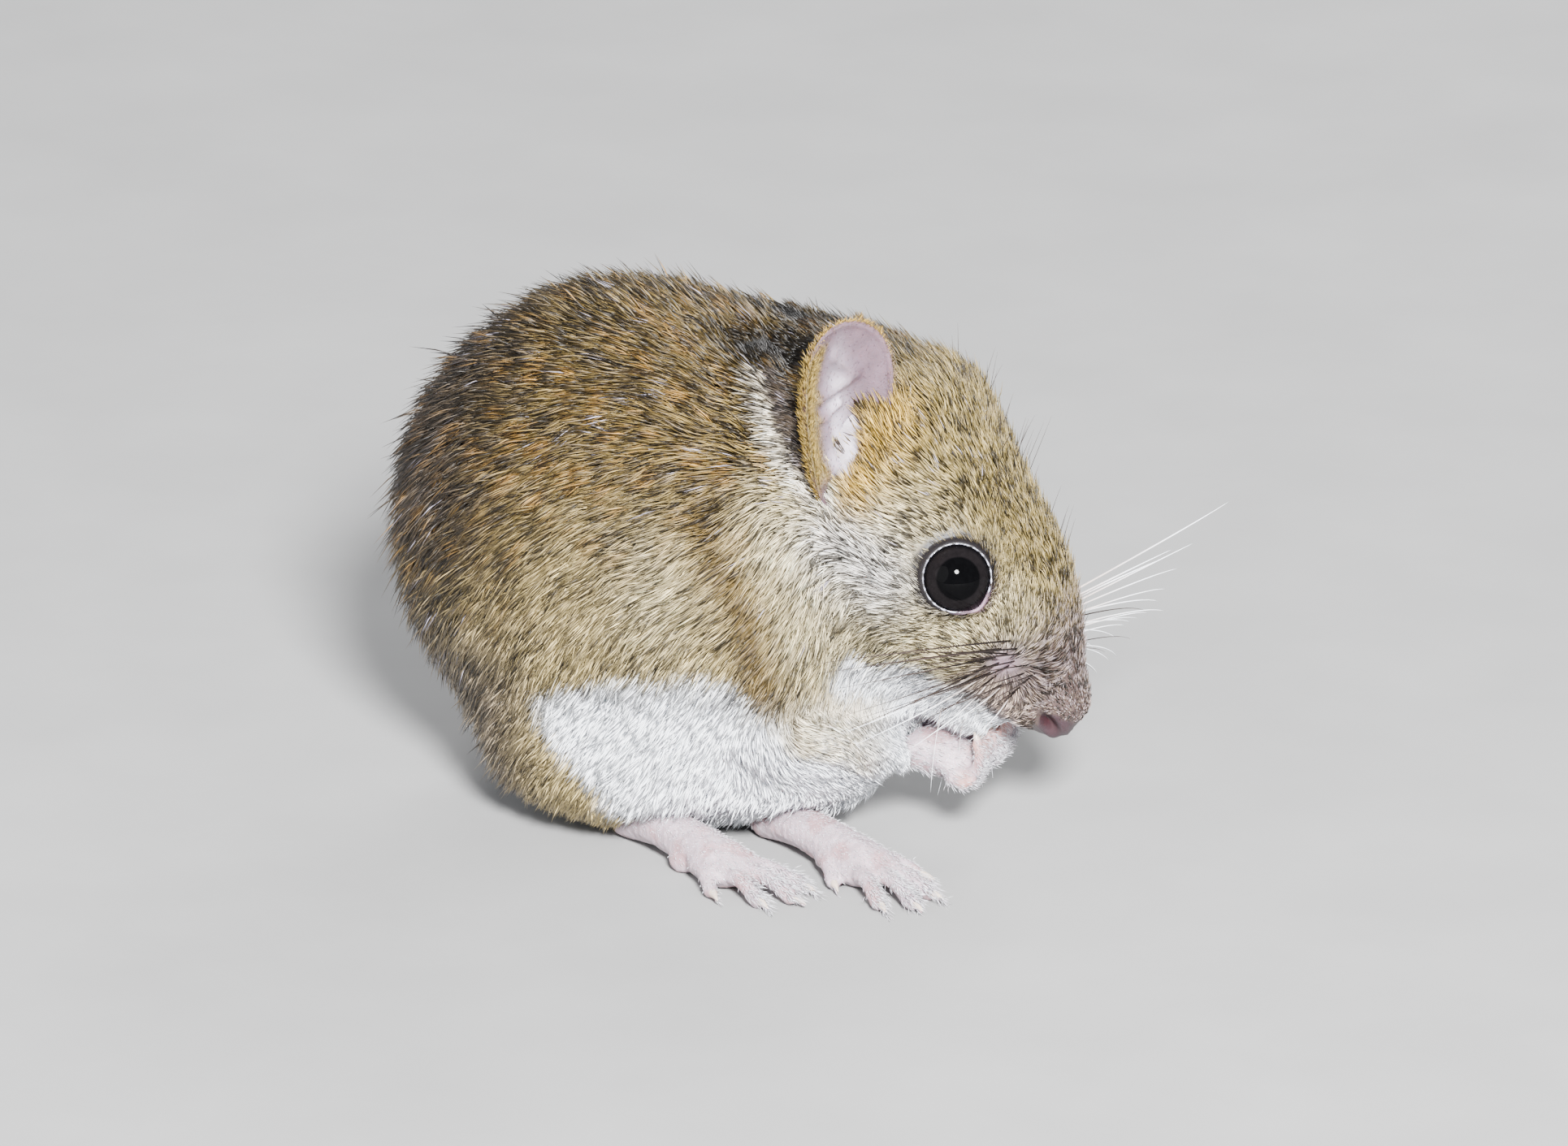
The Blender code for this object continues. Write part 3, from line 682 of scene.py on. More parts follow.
def coat_colour(points):
    """The coat's colour at a place: its own colour, with painted shade and painted light where noted."""
    h = to_head(points)
    along, _, up = h.T
    x, _, z = points.T
    dorsal = z - 22.0 + 0.75 * np.maximum(0, -2 - x) + 1.8 * ripple(points, 9.0, 31)
    upper = ramp(-4.0, 7.0, dorsal)
    rump = ramp(-5, -17, x) * ramp(12, 26, z)
    patch = ripple(points, 2.6, 36) + 0.5 * ripple(points, 1.2, 37)
    # painted shade: a darker line along the crease behind the shoulder
    crease = bump(x - looked_up(CREASE_LINE, z), 1.4) * ramp(9, 13, z) * ramp(31, 27, z)
    body = layered(
        FAWN,
        (BROWN, ramp(-4.0, 9.0, dorsal)),
        # the rump darker: partly its own colour, partly painted shade where the light falls off towards the rear
        (UMBER, 0.85 * rump),
        (RUST, 0.7 * upper * (1 - 0.45 * rump) * ramp(0.2, 1.0, patch)),
        (UMBER * 0.6, 0.55 * upper * ramp(0.1, 1.0, -patch)),
        (SHADE, 0.75 * (ramp(-3, -10, x) * ramp(19, 11, z))),
        (STRAW * 1.15, 0.75 * (bump(x - 4.6, 3.6) * bump(z - 21.5, 5.0))),
        (STRAW * 1.2, 0.8 * (bump(x - 14.6, 2.6) * bump(z - 17.5, 5.5))),
        (CREASE, 0.9 * crease),
    )
    face = mix(STRAW, OLIVE, ramp(-0.5, 6.5, up + 0.8 * ripple(points, 3.0, 33)))
    face = mix(face, MUZZLE, 0.9 * ramp(-9.5, -4.5, along))
    for side in SIDES:
        face = layered(
            face,
            (MUZZLE, 0.35 * near_pad(h, side, 2.8)),
            (FROST, 0.85 * near_pad(h, side, 1.4)),
            (LID, 0.75 * round_eye(points, side, 2.8, 0.3, 0)),
        )
    # the lip's pale tan fur, made brighter as painted light where the muzzle's underside is shaded
    face = mix(face, PALE_LIP, 0.75 * near_ears(h, LIP, 1.8))
    arm, place = on_arms(points)
    colour = layered(
        mix(body, face, on_head(h)),
        # painted shade: darker brown fur on the nape below the pocket behind the ear
        (BROWN * 0.8, 0.75 * near_ears(h, NAPE_DARK, 3.2)),
        (ASH, 0.75 * near_ears(h, CHEEK_PALE, 3.0)),
        (OCHRE, near_ears(h, EAR_FRONT, 2.25)),
        (CREAM, arm * (0.5 + 0.5 * ramp(0.2, 0.6, place))),
    )
    for side in SIDES:
        distance = along_path(h, sided(EAR_BACK, side))[0] + 0.35 * ripple(points, 1.3, 35)
        colour = mix(colour, CREAM, 0.95 * ramp(1.6, 0.5, distance))
    return layered(
        colour,
        # darker brown fur in the hollow between the cream fringe and the ear: partly its own colour, partly painted
        # shade
        (UMBER * 0.8, 0.9 * ramp(0.3, 0.65, near_ears(h, EAR_HOLLOW, 1.35))),
        # painted shade: the pocket behind the ear painted nearly black
        (SOOT, 0.95 * near_ears(h, EAR_POCKET_SHADE, 2.0)),
        (WHITE, white_share(points)),
    )


def nose_pad(h):
    """1 on the bare pad of the nose and round the nostrils, 0 beyond them."""
    pad = ramp(1.12, 0.9, norm((h - NOSE_PAD) / NOSE_PAD_SIZE))
    for side in SIDES:
        pad = np.maximum(pad, ramp(1.1, 0.8, norm(h - sided(NOSTRIL, side))))
    return pad


def skin_colour(points):
    """The skin under the coat, and where the coat leaves it bare."""
    h = to_head(points)
    along, out, _ = h.T
    colour = layered(
        coat_colour(points) * 0.45,
        (MUZZLE * 0.8, ramp(-9, -4, along) * 0.8 * (1 - white_share(points))),
        # dark red bare skin at the ear's root: partly its own colour, partly painted shade of the hollow
        (FLUSH * 0.2, near_ears(h, EAR_HOLLOW[2:], 1.0)),
        (EAR, np.maximum(near_ears(h, EAR_BOWL, 2.2), near_ears(h, EAR_LOBE, 1.8))),
        (EAR_SHINE * 0.85, 0.8 * near_ears(h, EAR_LOBE, 1.3)),
        (PINK, nose_pad(h)),
    )
    for side in SIDES:
        radius, height, angle = from_eye(points, side)
        colour = layered(
            colour,
            # the inside of each nostril painted dark red: partly its own colour, partly painted shade of the
            # opening
            (ROSE, 0.9 * bump(from_nostril(h, side, 0.4), 1.0) * (out * SIDES[side] > 0.4)),
            (LILAC * 0.9, 0.9 * near_pad(h, side, 0.9)),
            (LID * 0.25, ramp(3.7, 3.1, radius) * (height > 0)),
            (LILAC, bump(angle, 0.45) * ramp(3.6, 3.0, radius) * (height > 0)),
        )
    return colour


# Skin


def shape_lids(points):
    """Raises a lid round each eyeball and sinks what the eyeball hides."""
    for side in SIDES:
        radius, height, angle = from_eye(points, side)
        beyond = radius - (EYE_OPENING + CANTHUS * bump(angle, CANTHUS_WIDTH))
        ball = np.sqrt(np.maximum(EYE_RADIUS**2 - np.minimum(radius, EYE_RADIUS - 0.05) ** 2, 0))
        rim = np.sqrt(EYE_RADIUS**2 - EYE_OPENING**2) + 0.12
        lifted = height + (rim - 0.1 * bump(angle, 0.5) - height) * ramp(LID_FALL, 0.1, beyond)
        wanted = np.where(beyond > 0, lifted, ball - 0.7)
        change = np.where((radius < 4.2) & (height > 0.0), wanted - height, 0.0)
        points = points + change[:, None] * eye_axes(side)[0]
    return points


def shape_muzzle(points, normals):
    """Nostrils with their wings, the groove between the lips, the line of the mouth and the bare nose's edge."""
    h = to_head(points)
    along, out, up = h.T
    depth = np.zeros(len(points))
    for side in SIDES:
        slit = from_nostril(h, side, 0.34)
        facing = (out * SIDES[side] > 0.4) & (along > -3.2)
        depth += np.where(facing, 0.62 * bump(slit, 1.0) - 0.2 * bump(slit - 2.1, 0.7), 0)
        mouth = along_path(h, sided(MOUTH, side))[0]
        depth += 0.4 * bump(mouth, 0.3) - 0.1 * bump(mouth - 0.6, 0.3)
    depth += 0.32 * bump(along_path(h, PHILTRUM)[0], 0.22)
    depth -= 0.1 * (ramp(-3.2, -2.2, along) * ramp(2.0, 1.0, up))
    return points - normals * depth[:, None]


def near_eyes(points):
    near = np.zeros(len(points), bool)
    for side in SIDES:
        radius, height, _ = from_eye(points, side)
        near |= (radius < 3.9) & (radius > 1.9) & (height > 0)
    return near


def near_muzzle(points):
    along, out, up = to_head(points).T
    return (along > -3.6) | ((along > -9.5) & (up < -3.4) & (np.abs(out) < 5) & (up > -7))


def make_skin():
    """One skin from the flesh solids, inside them by the coat's depth."""
    eyeballs = [(middle("eye_" + side), EYE_RADIUS + 0.05) for side in SIDES]
    skin = blended_skin("skin", FLESH, SKIN_VOXEL, 10, SEAM_GROWTH, eyeballs)
    points = points_of(skin)
    depth = SEAM_GROWTH * 0.7 + COAT_DEPTH * coat_length(points)
    for path, dent in ((EAR_BOWL, BOWL_DEPTH), (EAR_POCKET_SHADE, NOTCH_DEPTH)):
        depth += dent * near_ears(to_head(points), path, EAR_DENT_WIDTH)
    move_points(skin, points - normals_of(skin) * depth[:, None])
    modified(skin, SMOOTH=softened(4))
    refined(skin, near_eyes, 2)
    refined(skin, near_muzzle, 1)
    move_points(skin, shape_lids(shape_muzzle(points_of(skin), normals_of(skin))))
    in_triangles(skin)
    paint(skin, skin_colour(points_of(skin)))
    return skin


def unwrap(thing):
    """Unwraps a skin by its own shape."""
    bpy.ops.object.select_all(action="DESELECT")
    bpy.context.view_layer.objects.active = thing
    thing.select_set(True)
    bpy.ops.object.mode_set(mode="EDIT")
    bpy.ops.mesh.select_all(action="SELECT")
    bpy.ops.uv.smart_project(angle_limit=math.radians(60), island_margin=0.002)
    bpy.ops.object.mode_set(mode="OBJECT")
    thing.data.uv_layers[0].name = "OFBake"
    return thing


# Tufts


class Ground:
    """A triangulated skin that hairs are rooted on."""

    def __init__(self, thing):
        mesh = thing.data
        mesh.calc_loop_triangles()
        self.corners = read(mesh.loop_triangles, "vertices", 3, np.int32)
        loops = read(mesh.loop_triangles, "loops", 3, np.int32)
        self.uv = read(mesh.uv_layers["OFBake"].data, "uv", 2)[loops]
        self.points, self.normals = points_of(thing), normals_of(thing)
        a, b, c = (self.points[self.corners[:, i]] for i in range(3))
        self.middles = (a + b + c) / 3
        self.areas = norm(np.cross(b - a, c - a)) / 2
        self.facing = self.normals[self.corners[:, 0]]

    def scatter(self, count, weights):
        """Roots spread evenly over the skin by a weight for each triangle, their normals and their UVs."""
        total = np.cumsum(self.areas * weights)
        marks = (np.arange(count) + uniform(0, 1, count)) / count * total[-1]
        chosen = np.minimum(np.searchsorted(total, marks), len(total) - 1)
        first, second = np.sqrt(uniform(0, 1, count)), uniform(0, 1, count)
        shares = np.stack([1 - first, first * (1 - second), first * second], -1)[..., None]
        corners = self.corners[chosen]
        rows = (self.points[corners], self.normals[corners], self.uv[chosen])
        roots, normals, uv = ((values * shares).sum(1) for values in rows)
        return roots, unit(normals), uv


def clump_leaders(roots, every):
    """For each hair, the nearest of the hairs that lead a clump."""
    leaders = RANDOM.choice(len(roots), max(len(roots) // every, 1), replace=False)
    tree = KDTree(len(leaders))
    for k, leader in enumerate(leaders):
        tree.insert(roots[leader], k)
    tree.balance()
    return leaders[[tree.find(root)[1] for root in roots]]


SPINDLE = ((0, 1, 2), (0, 2, 3), (0, 3, 1), (4, 2, 1), (4, 3, 2), (4, 1, 3))
UV_PATCH = 0.0015 * np.array(((0, -1), (-0.8, 0), (0, 0.1), (0.8, 0), (0, 1)))
WIDEST = 0.6
LEAN, ROOT_DEPTH, RING_HEIGHT = 3.5, 0.15, 0.65
CLUMP, CLUMP_PULL = 5, 1.2
FINE = 0.06
EAR_HAIRS, FOOT_HAIRS, HAND_HAIRS, TAIL_HAIRS = 7000, 4000, 3400, 4500
ON_FLOOR = 0.02


def make_tufts(name, made_of, rooted, way, length, width, colours, lifts, leaders=None):
    """Closed tufts from a point at the root over a three-sided ring to a point at the tip.

    rooted is what scatter gives, colours are at the root, the ring and the tip, lifts the rise of the two lengths
    over the skin in degrees, and leaders the hair that the tip of each is drawn to.
    """
    roots, normals, uv = rooted
    count = len(roots)
    places = [roots - normals * ROOT_DEPTH * np.minimum(length, 1)[:, None]]
    tilt = normal(0, LEAN, count)
    for lift, share in zip(lifts, (WIDEST, 1 - WIDEST)):
        angle = np.radians(lift + tilt)[:, None]
        step = way * np.cos(angle) + normals * np.sin(angle)
        places.append(places[-1] + step * (length * share)[:, None])
    if leaders is not None:
        offset = places[2][leaders] - places[2]
        reach = np.maximum(norm(offset)[:, None], 1e-6)
        pull = offset * np.minimum(1.0, CLUMP_PULL / reach) * uniform(0.2, 0.7, (count, 1))
        places[2] = places[2] + pull
        places[1] = places[1] + 0.4 * pull
    across = unit(np.cross(normals, way))
    lift = unit(np.cross(places[2] - places[0], across))
    turns = uniform(-0.5, 0.5, (count, 1)) + 2 * math.pi * (np.arange(3) + 0.25) / 3
    ring = [across * np.cos(turn)[:, None] + RING_HEIGHT * lift * np.sin(turn)[:, None] for turn in turns.T]
    ring = [places[1] + offset * (width / 2)[:, None] for offset in ring]
    points = np.stack([places[0], *ring, places[2]], 1).reshape(-1, 3)
    points[:, 2] = np.maximum(points[:, 2], ON_FLOOR)
    triangles = (np.array(SPINDLE)[None] + (np.arange(count) * 5)[:, None, None]).reshape(-1, 3)
    tufts = add_mesh(name, points, triangles)
    root_tone, ring_tone, tip_tone = colours
    paint(tufts, np.stack([root_tone, ring_tone, ring_tone, ring_tone, tip_tone], 1).reshape(-1, 3))
    set_uv(tufts, (uv[:, None] + UV_PATCH[None]).reshape(-1, 2)[triangles.ravel()])
    dress(tufts, made_of, "coat")


def hair_tones(points, white, leaders, dark, pale, glint):
    """Colours at the root, the ring and the tip of each hair: some hairs are darker, some paler, a few glint.

    Most hairs of a clump are of one kind.
    """
    base = coat_colour(points)
    count = len(points)
    along, _, up = to_head(points).T
    snout = ramp(-11.0, -6.0, along)
    coloured = 1 - white
    own, kind = uniform(0, 1, count), uniform(0, 1, count)
    shade = 0.55 + 0.45 * own + 0.5 * own[leaders]
    shade = shade * (1 + 0.12 * ripple(points, 2.2, 41) + 0.1 * ripple(points, 0.9, 42))
    base = base * mix(shade[:, None], 0.92 + 0.08 * own[:, None], white)
    kind = np.where(uniform(0, 1, count) < 0.6, kind[leaders], kind)
    black = (kind < (dark + 0.1 * snout) * (1 - 0.8 * on_arms(points)[0])) * coloured
    light = (kind > 1 - pale) * coloured
    shining = (kind > 1 - glint) * coloured
    frosted = (kind > 0.55 - 0.2 * ramp(-1.0, -4.0, up)) * coloured * snout
    root = mix(base * 0.1, base * 0.8, white)
    ring = layered(base * 0.62, (base, white), (SOOT, 0.85 * black), (base * 1.1, light), (GLINT * 0.7, shining))
    paler = mix(base * 1.9, GLINT, np.full(count, 0.2))
    tip = layered(
        base * 1.55, (base, white), (SOOT, 0.95 * black), (paler, light), (FROST, 0.7 * frosted), (GLINT, shining)
    )
    return [np.clip(tone, 0.002, 0.97) for tone in (root, ring, tip)]


def bare_places(points):
    """1 where no hair grows: the nose pad, the middle of the whisker pads, the eyes and the soles."""
    h = to_head(points)
    bare = [nose_pad(h)]
    for side in SIDES:
        radius, height, angle = from_eye(points, side)
        bare.append((radius < 2.62 + 0.4 * bump(angle, 0.4)) & (height > 0))
        bare.append(0.6 * near_pad(h, side, 0.6))
    lobe = np.maximum(near_ears(h, EAR_BOWL, 2.1), near_ears(h, EAR_LOBE, 1.5))
    bare.append(0.97 * ramp(0.35, 0.6, lobe))
    bare.append(0.8 * near_ears(h, EAR_HOLLOW[2:], 0.9))
    bare.append(points[:, 2] < 0.35)
    return np.max(np.array(bare, float), axis=0)


FACE_BACK = -17.5
COAT_PARTS = {
    # part: how many tufts, their width, the shares of dark, of pale and of glinting ones, and their lifts
    "face": (33000, 0.085, 0.29, 0.24, 0.0, (20, 7)),
    "crown": (27000, 0.1, 0.26, 0.3, 0.01, (24, 9)),
    "nape": (23000, 0.11, 0.34, 0.2, 0.01, (24, 9)),
    "back": (30000, 0.12, 0.36, 0.18, 0.012, (20, 7)),
    "rump": (25000, 0.13, 0.36, 0.14, 0.026, (20, 7)),
    "side_right": (31000, 0.11, 0.22, 0.22, 0.0, (24, 9)),
    "side_left": (22000, 0.12, 0.2, 0.2, 0.0, (24, 9)),
    "belly": (24000, 0.12, 0.0, 0.0, 0.0, (24, 9)),
}


def part_of(points):
    """The part of the coat that each place belongs to."""
    x, y, z = points.T
    h = to_head(points)
    head = on_head(h) > 0.5
    parts = np.full(len(points), "back", dtype=object)
    parts[(y < MIDPLANE) & (z < 31)] = "side_right"
    parts[(y >= MIDPLANE) & (z < 31)] = "side_left"
    parts[x < -10] = "rump"
    parts[(x > 4) & (z > 27)] = "nape"
    parts[white_share(points) > 0.5] = "belly"
    parts[head] = "crown"
    parts[head & (h[:, 0] > FACE_BACK)] = "face"
    return parts


def make_coat(skin):
    ground = Ground(skin)
    parts = part_of(ground.middles)
    density = (1 - bare_places(ground.middles)) / np.maximum(coat_length(ground.middles), 0.7) ** 0.6
    fur = material("coat")
    for part, (count, width, dark, pale, glint, lifts) in COAT_PARTS.items():
        rooted = ground.scatter(count, (parts == part) * density)
        roots, normals, _ = rooted
        way = coat_lie(roots, normals)
        way = unit(way + normal(0, 0.17, way.shape))
        length = coat_length(roots) * uniform(0.7, 1.12, count)
        leaders = clump_leaders(roots, CLUMP)
        tones = hair_tones(roots + way * (length * 0.6)[:, None], white_share(roots), leaders, dark, pale, glint)
        # Painted shade: hairs that reach over the pocket behind the ear turn nearly black
        pocket_shade = near_ears(to_head(roots + way * (length * 0.8)[:, None]), EAR_POCKET_SHADE, 2.4)
        tones = [mix(tone, SOOT * 0.5, np.minimum(1.3 * pocket_shade, 0.97)) for tone in tones]
        thick = width * uniform(0.7, 1.25, count)
        make_tufts("coat_" + part, fur, rooted, way, length, thick, tones, lifts, leaders)


# Eyes


def make_eye(side, made_of):
    """An eyeball with its cornea standing out a little, an iris and a wide pupil."""
    bm = bmesh.new()
    bmesh.ops.create_uvsphere(bm, u_segments=72, v_segments=60, radius=1.0)
    # Blender gives the faces in another order on each run
    bm.verts.index_update()
    bm.faces.sort(key=lambda face: face.verts[0].index * len(bm.verts) + face.verts[2].index)
    made = add_bmesh("eyeball_" + side, bm)
    made.data.shade_smooth()
    co = read(made.data.vertices, "co", 3).astype(float)
    angle = np.degrees(np.arccos(np.clip(co[:, 2], -1, 1)))
    radius = EYE_RADIUS * (1 + 0.03 * ramp(46, 20, angle))
    turn = np.array(Vector(eye_axes(side)[0]).to_track_quat("Z", "Y").to_matrix())
    move_points(made, (co * radius[:, None]) @ turn.T + middle("eye_" + side))
    paint(made, layered(PUPIL, (IRIS, ramp(30.5, 33.5, angle)), (EYE_EDGE, ramp(46, 51, angle))))
    dress(made, made_of, "eye_dark", "eye_" + side)


def make_lid_rim(side, made_of):
    """The wet margin of the lids."""
    steps, sides = 96, 8
    look, inner, sideways = eye_axes(side)
    angles = circle(steps)[2]
    wrapped = (angles + math.pi) % (2 * math.pi) - math.pi
    radius = EYE_OPENING + 0.09 + CANTHUS * bump(wrapped, CANTHUS_WIDTH)
    height = np.sqrt(EYE_RADIUS**2 - np.minimum(radius, EYE_RADIUS - 0.02) ** 2) + 0.2
    out = np.cos(angles)[:, None] * inner + np.sin(angles)[:, None] * sideways
    path = middle("eye_" + side) + out * radius[:, None] + look * height[:, None]
    beads = 0.058 * (1 + 0.2 * np.sin(angles * 23) + 0.15 * np.sin(angles * 37 + 1))
    points = rings(path, out, look, circle(sides)[2], beads)
    made = add_mesh("lid_rim_" + side, points, strips(steps, sides, closed=True)[:, ::-1])
    bright = 0.35 + 0.65 * ramp(-0.6, 0.9, np.cos(wrapped)) * (0.6 + 0.4 * np.sin(angles * 23))
    paint(made, LID_SHINE * np.repeat(bright, sides)[:, None])
    dress(made, made_of, "bare_skin")


# Ears

EAR_SHINE_PATH = ((0.05, 0.65, 0), (0.12, 0.15, 0), (0.15, -0.25, 0), (0.05, -0.6, 0))
EAR_RIDGES = (
    # path across and along the leaf, height, width
    (((0.0, 0.62, 0), (0.2, 0.5, 0), (0.42, 0.36, 0)), 0.42, 0.08),
    (((-0.24, 0.2, 0), (0.02, 0.22, 0), (0.3, 0.3, 0)), 0.5, 0.08),
    (((-0.3, -0.02, 0), (0.0, 0.0, 0), (0.2, 0.06, 0)), 0.4, 0.06),
    (((-0.12, -0.14, 0), (-0.06, -0.45, 0)), 0.5, 0.14),
    (((-0.34, -0.6, 0), (0.15, -0.55, 0)), 0.4, 0.09),
)


def leaf_form(share, across=1.0):
    """Half the width of the ear's leaf at a share of its length, how it bends, and how far it sags back."""
    half = across * (0.62 + 0.46 * share - 0.1 * share**2) * EAR_WIDTH / 2
    return half, 2.9 + 3.4 * share, 1.4 * np.sin(math.pi * share)


def ear_point(across, along):
    """Points of the ear's leaf: x across, y the way the cup faces, z from root to tip."""
    share = (along + 1) / 2
    width, bend, sag = leaf_form(share, across)
    angle = width / bend
    return np.stack([bend * np.sin(angle), bend * (1 - np.cos(angle)) - sag, share * EAR_LENGTH], -1)


def ear_turn(side):
    flare, facing = -SIDES[side] * EAR_FLARE[side], SIDES[side] * EAR_FACING - 90
    return HEAD_TURN @ turned(("Y", -EAR_LEAN[side]), ("X", flare), ("Z", facing))


def ear_zones(points, normals, side):
    """The shares across the ear, from its rear to its front rim, and along it; inside; its rim; its furry band."""
    own = (points - from_head(sided(EAR_PLACE, side))) @ ear_turn(side)
    share = np.clip(own[:, 2] / EAR_LENGTH, 0.01, 0.99)
    half, bend, sag = leaf_form(share)
    width = bend * np.arctan2(own[:, 0], bend - own[:, 1] - sag)
    across = SIDES[side] * width / (half * np.sqrt(1 - (2 * share - 1) ** 2))
    rim = np.maximum(ramp(0.86, 0.97, np.abs(across)), ramp(0.93, 0.98, share))
    band = ramp(-0.15, -0.36, across) * ramp(0.12, 0.22, share) * ramp(0.95, 0.86, share)
    return across, share, normals @ ear_turn(side)[:, 1] > 0, rim, band


def ear_relief(across, along, edge, side):
    """How far the inside of the cup stands out: its ridges, its folds and the bead of its rim."""
    flat = np.stack([across * SIDES[side], along, 0 * along], -1)
    relief = np.zeros(len(flat))
    for path, height, width in EAR_RIDGES:
        relief += height * bump(along_path(flat, path)[0], width)
    return relief * ramp(0.98, 0.85, edge) + 0.14 * bump(edge - EAR_BEAD, EAR_BEAD_WIDTH)


def make_ear(side, made_of):
    """A thin cup with a rolled rim, folds inside it, and its root sunk in the head."""
    count_rings, spokes, small = 44, 120, 0.01
    reach = np.linspace(0.0, 1.0, count_rings + 1)[1:]
    k, after, turns = circle(spokes)
    across = np.concatenate([[0.0], np.outer(reach, np.sin(turns)).ravel()])
    along = np.concatenate([[0.0], np.outer(reach, np.cos(turns)).ravel()])
    leaf = ear_point(across, along)
    du = ear_point(across + small, along) - ear_point(across - small, along)
    dv = ear_point(across, along + small) - ear_point(across, along - small)
    facing = unit(np.cross(dv, du))
    facing *= np.sign(facing[:, 1:2] + 1e-9)
    edge = np.sqrt(across**2 + along**2)
    half = EAR_THICKNESS / 2 * np.sqrt(np.maximum(1 - edge**14, 0.0))
    front = leaf + facing * (half + ear_relief(across, along, edge, side))[:, None]
    back = leaf + facing * (-half + 0.12 * bump(edge - EAR_BEAD, EAR_BEAD_WIDTH))[:, None]
    count = len(leaf)

    def between(a, b):
        return [np.stack([a + k, b + k, b + after], -1), np.stack([a + k, b + after, a + after], -1)]

    starts = 1 + np.arange(count_rings) * spokes
    bands = [band for a, b in zip(starts, starts[1:]) for band in between(a, b)]
    sheet = np.vstack([np.stack([0 * k, 1 + k, 1 + after], -1), *bands])
    points = np.vstack([front, back]) @ ear_turn(side).T + from_head(sided(EAR_PLACE, side))
    triangles = np.vstack([sheet, sheet[:, ::-1] + count, *between(starts[-1], count + starts[-1])])
    made = add_mesh("ear_skin_" + side, points, triangles)
    edited(made, lambda bm: weld(bm, 1e-6))
    ends = points_of(made)
    across, share, inward, _, band = ear_zones(ends, normals_of(made), side)
    shine, at, _ = along_path(np.stack([across, 2 * share - 1, 0 * share], -1), EAR_SHINE_PATH)
    inside = layered(EAR, (EAR_SHINE, (0.25 + 0.75 * at) * bump(shine, 0.22)), (OLIVE * 0.7, 0.85 * band))
    tone = np.where(inward[:, None], inside, EAR * EAR_BACK_TINT)
    paint(made, tone * (1 + 0.08 * ripple(ends, 2.0, 51))[:, None])
    return unwrap(dress(made, made_of, "ear_skin", "ear_" + side))


def make_ear_hair(side, ear, made_of):
    """Fine short hair inside and outside the ear, and an ochre band along its rear rim."""
    ground = Ground(ear)
    _, share, inward, rim, band = ear_zones(ground.middles, ground.facing, side)
    weights = np.where(inward, 0.45 + 0.8 * rim + 2.6 * band, 1.6) * (share > 0.05)
    rooted = ground.scatter(EAR_HAIRS, weights)
    roots, normals, _ = rooted
    across, share, inward, rim, band = ear_zones(roots, normals, side)
    way = unit(np.stack([0.7 * SIDES[side] * across, 0 * across, 0 * across + 1], -1)) @ ear_turn(side).T
    way = unit(unit(laid(way, normals)) + normal(0, 0.14, way.shape))
    length = np.where(inward, 0.35 + 0.65 * band + 0.3 * rim, 0.95 - 0.3 * rim) * uniform(0.6, 1.3, EAR_HAIRS)
    inside = mix(EAR * 1.2, OCHRE * 0.25 + OLIVE * 0.45, np.maximum(band, 0.5 * rim))
    outside = mix(BROWN * 0.9, OCHRE, 0.4 + 0.4 * rim)
    base = np.where(inward[:, None], inside, outside) * uniform(0.45, 1.5, (EAR_HAIRS, 1))
    thick = FINE * uniform(0.7, 1.2, EAR_HAIRS)
    tones = (base * 0.8, base, base * 1.15)
    make_tufts("ear_hair_" + side, made_of, rooted, way, length, thick, tones, (20, 12))


# Paws


def foot_axes(side):
    """The foot's own axes as a turn, and its heel."""
    return turned(("Z", FOOT_HEADING)), np.array((*FOOT_HEEL[side], 0.0)) + SHIFT


def knuckles(side):
    """Balls for the bent fingers under the palm."""
    places = [(x, out, z) for out in FINGER_OUTS[1:] for x, z in ((-2.2, 5.7), (-1.5, 5.45), (-0.95, 5.75))]
    return [(from_chest(place, side), 0.56) for place in places]


def make_paw(name, node, voxel, made_of, extra=()):
    """A hand or a foot with its skin smoothed, wrinkled over the toes."""
    paw = blended_skin(name, [node], voxel, 5, extra=extra)
    points = points_of(paw)
    crease = 0.03 * ripple(points, 1.1, 61) + 0.02 * ripple(points, 0.5, 62)
    points = points + normals_of(paw) * crease[:, None]
    points[:, 2] = np.maximum(points[:, 2], 0.01)
    move_points(paw, points)
    points = points_of(in_triangles(paw))
    tone = PAW * (1 + 0.12 * ripple(points, 1.6, 63))[:, None]
    tone = mix(tone, FLUSH, 0.5 * ramp(0.1, 0.8, ripple(points, 2.4, 64)))
    ends = [(x, out, z) for out in FINGER_OUTS for x, z in ((-0.6, 8.3), (-1.2, 5.5))]
    for side in SIDES:
        for end in ends:
            tone = mix(tone, PEACH, 0.8 * bump(norm(points - from_chest(end, side)), 0.8))
    paint(paw, tone)
    return unwrap(dress(paw, made_of, "bare_skin", node))


def make_paw_hair(name, paw, count, direction, rule, made_of):
    """Fine white hairs on a paw, by a rule for their length and weight at places that face up by a share."""
    ground = Ground(paw)
    rooted = ground.scatter(count, rule(ground.middles, ground.facing[:, 2])[1])
    roots, normals, _ = rooted
    way = direction - (normals @ direction)[:, None] * normals
    way = unit(unit(way) + normal(0, 0.2, roots.shape))
    base = mix(WHITE * 0.85, PAW, uniform(0, 0.7, count)) * uniform(0.8, 1.0, (count, 1))
    thick = FINE * uniform(0.7, 1.2, count)
    length = rule(roots, normals[:, 2])[0] * uniform(0.6, 1.2, count)
    make_tufts(name, made_of, rooted, way, length, thick, (base * 0.9, base, base), (15, 7))


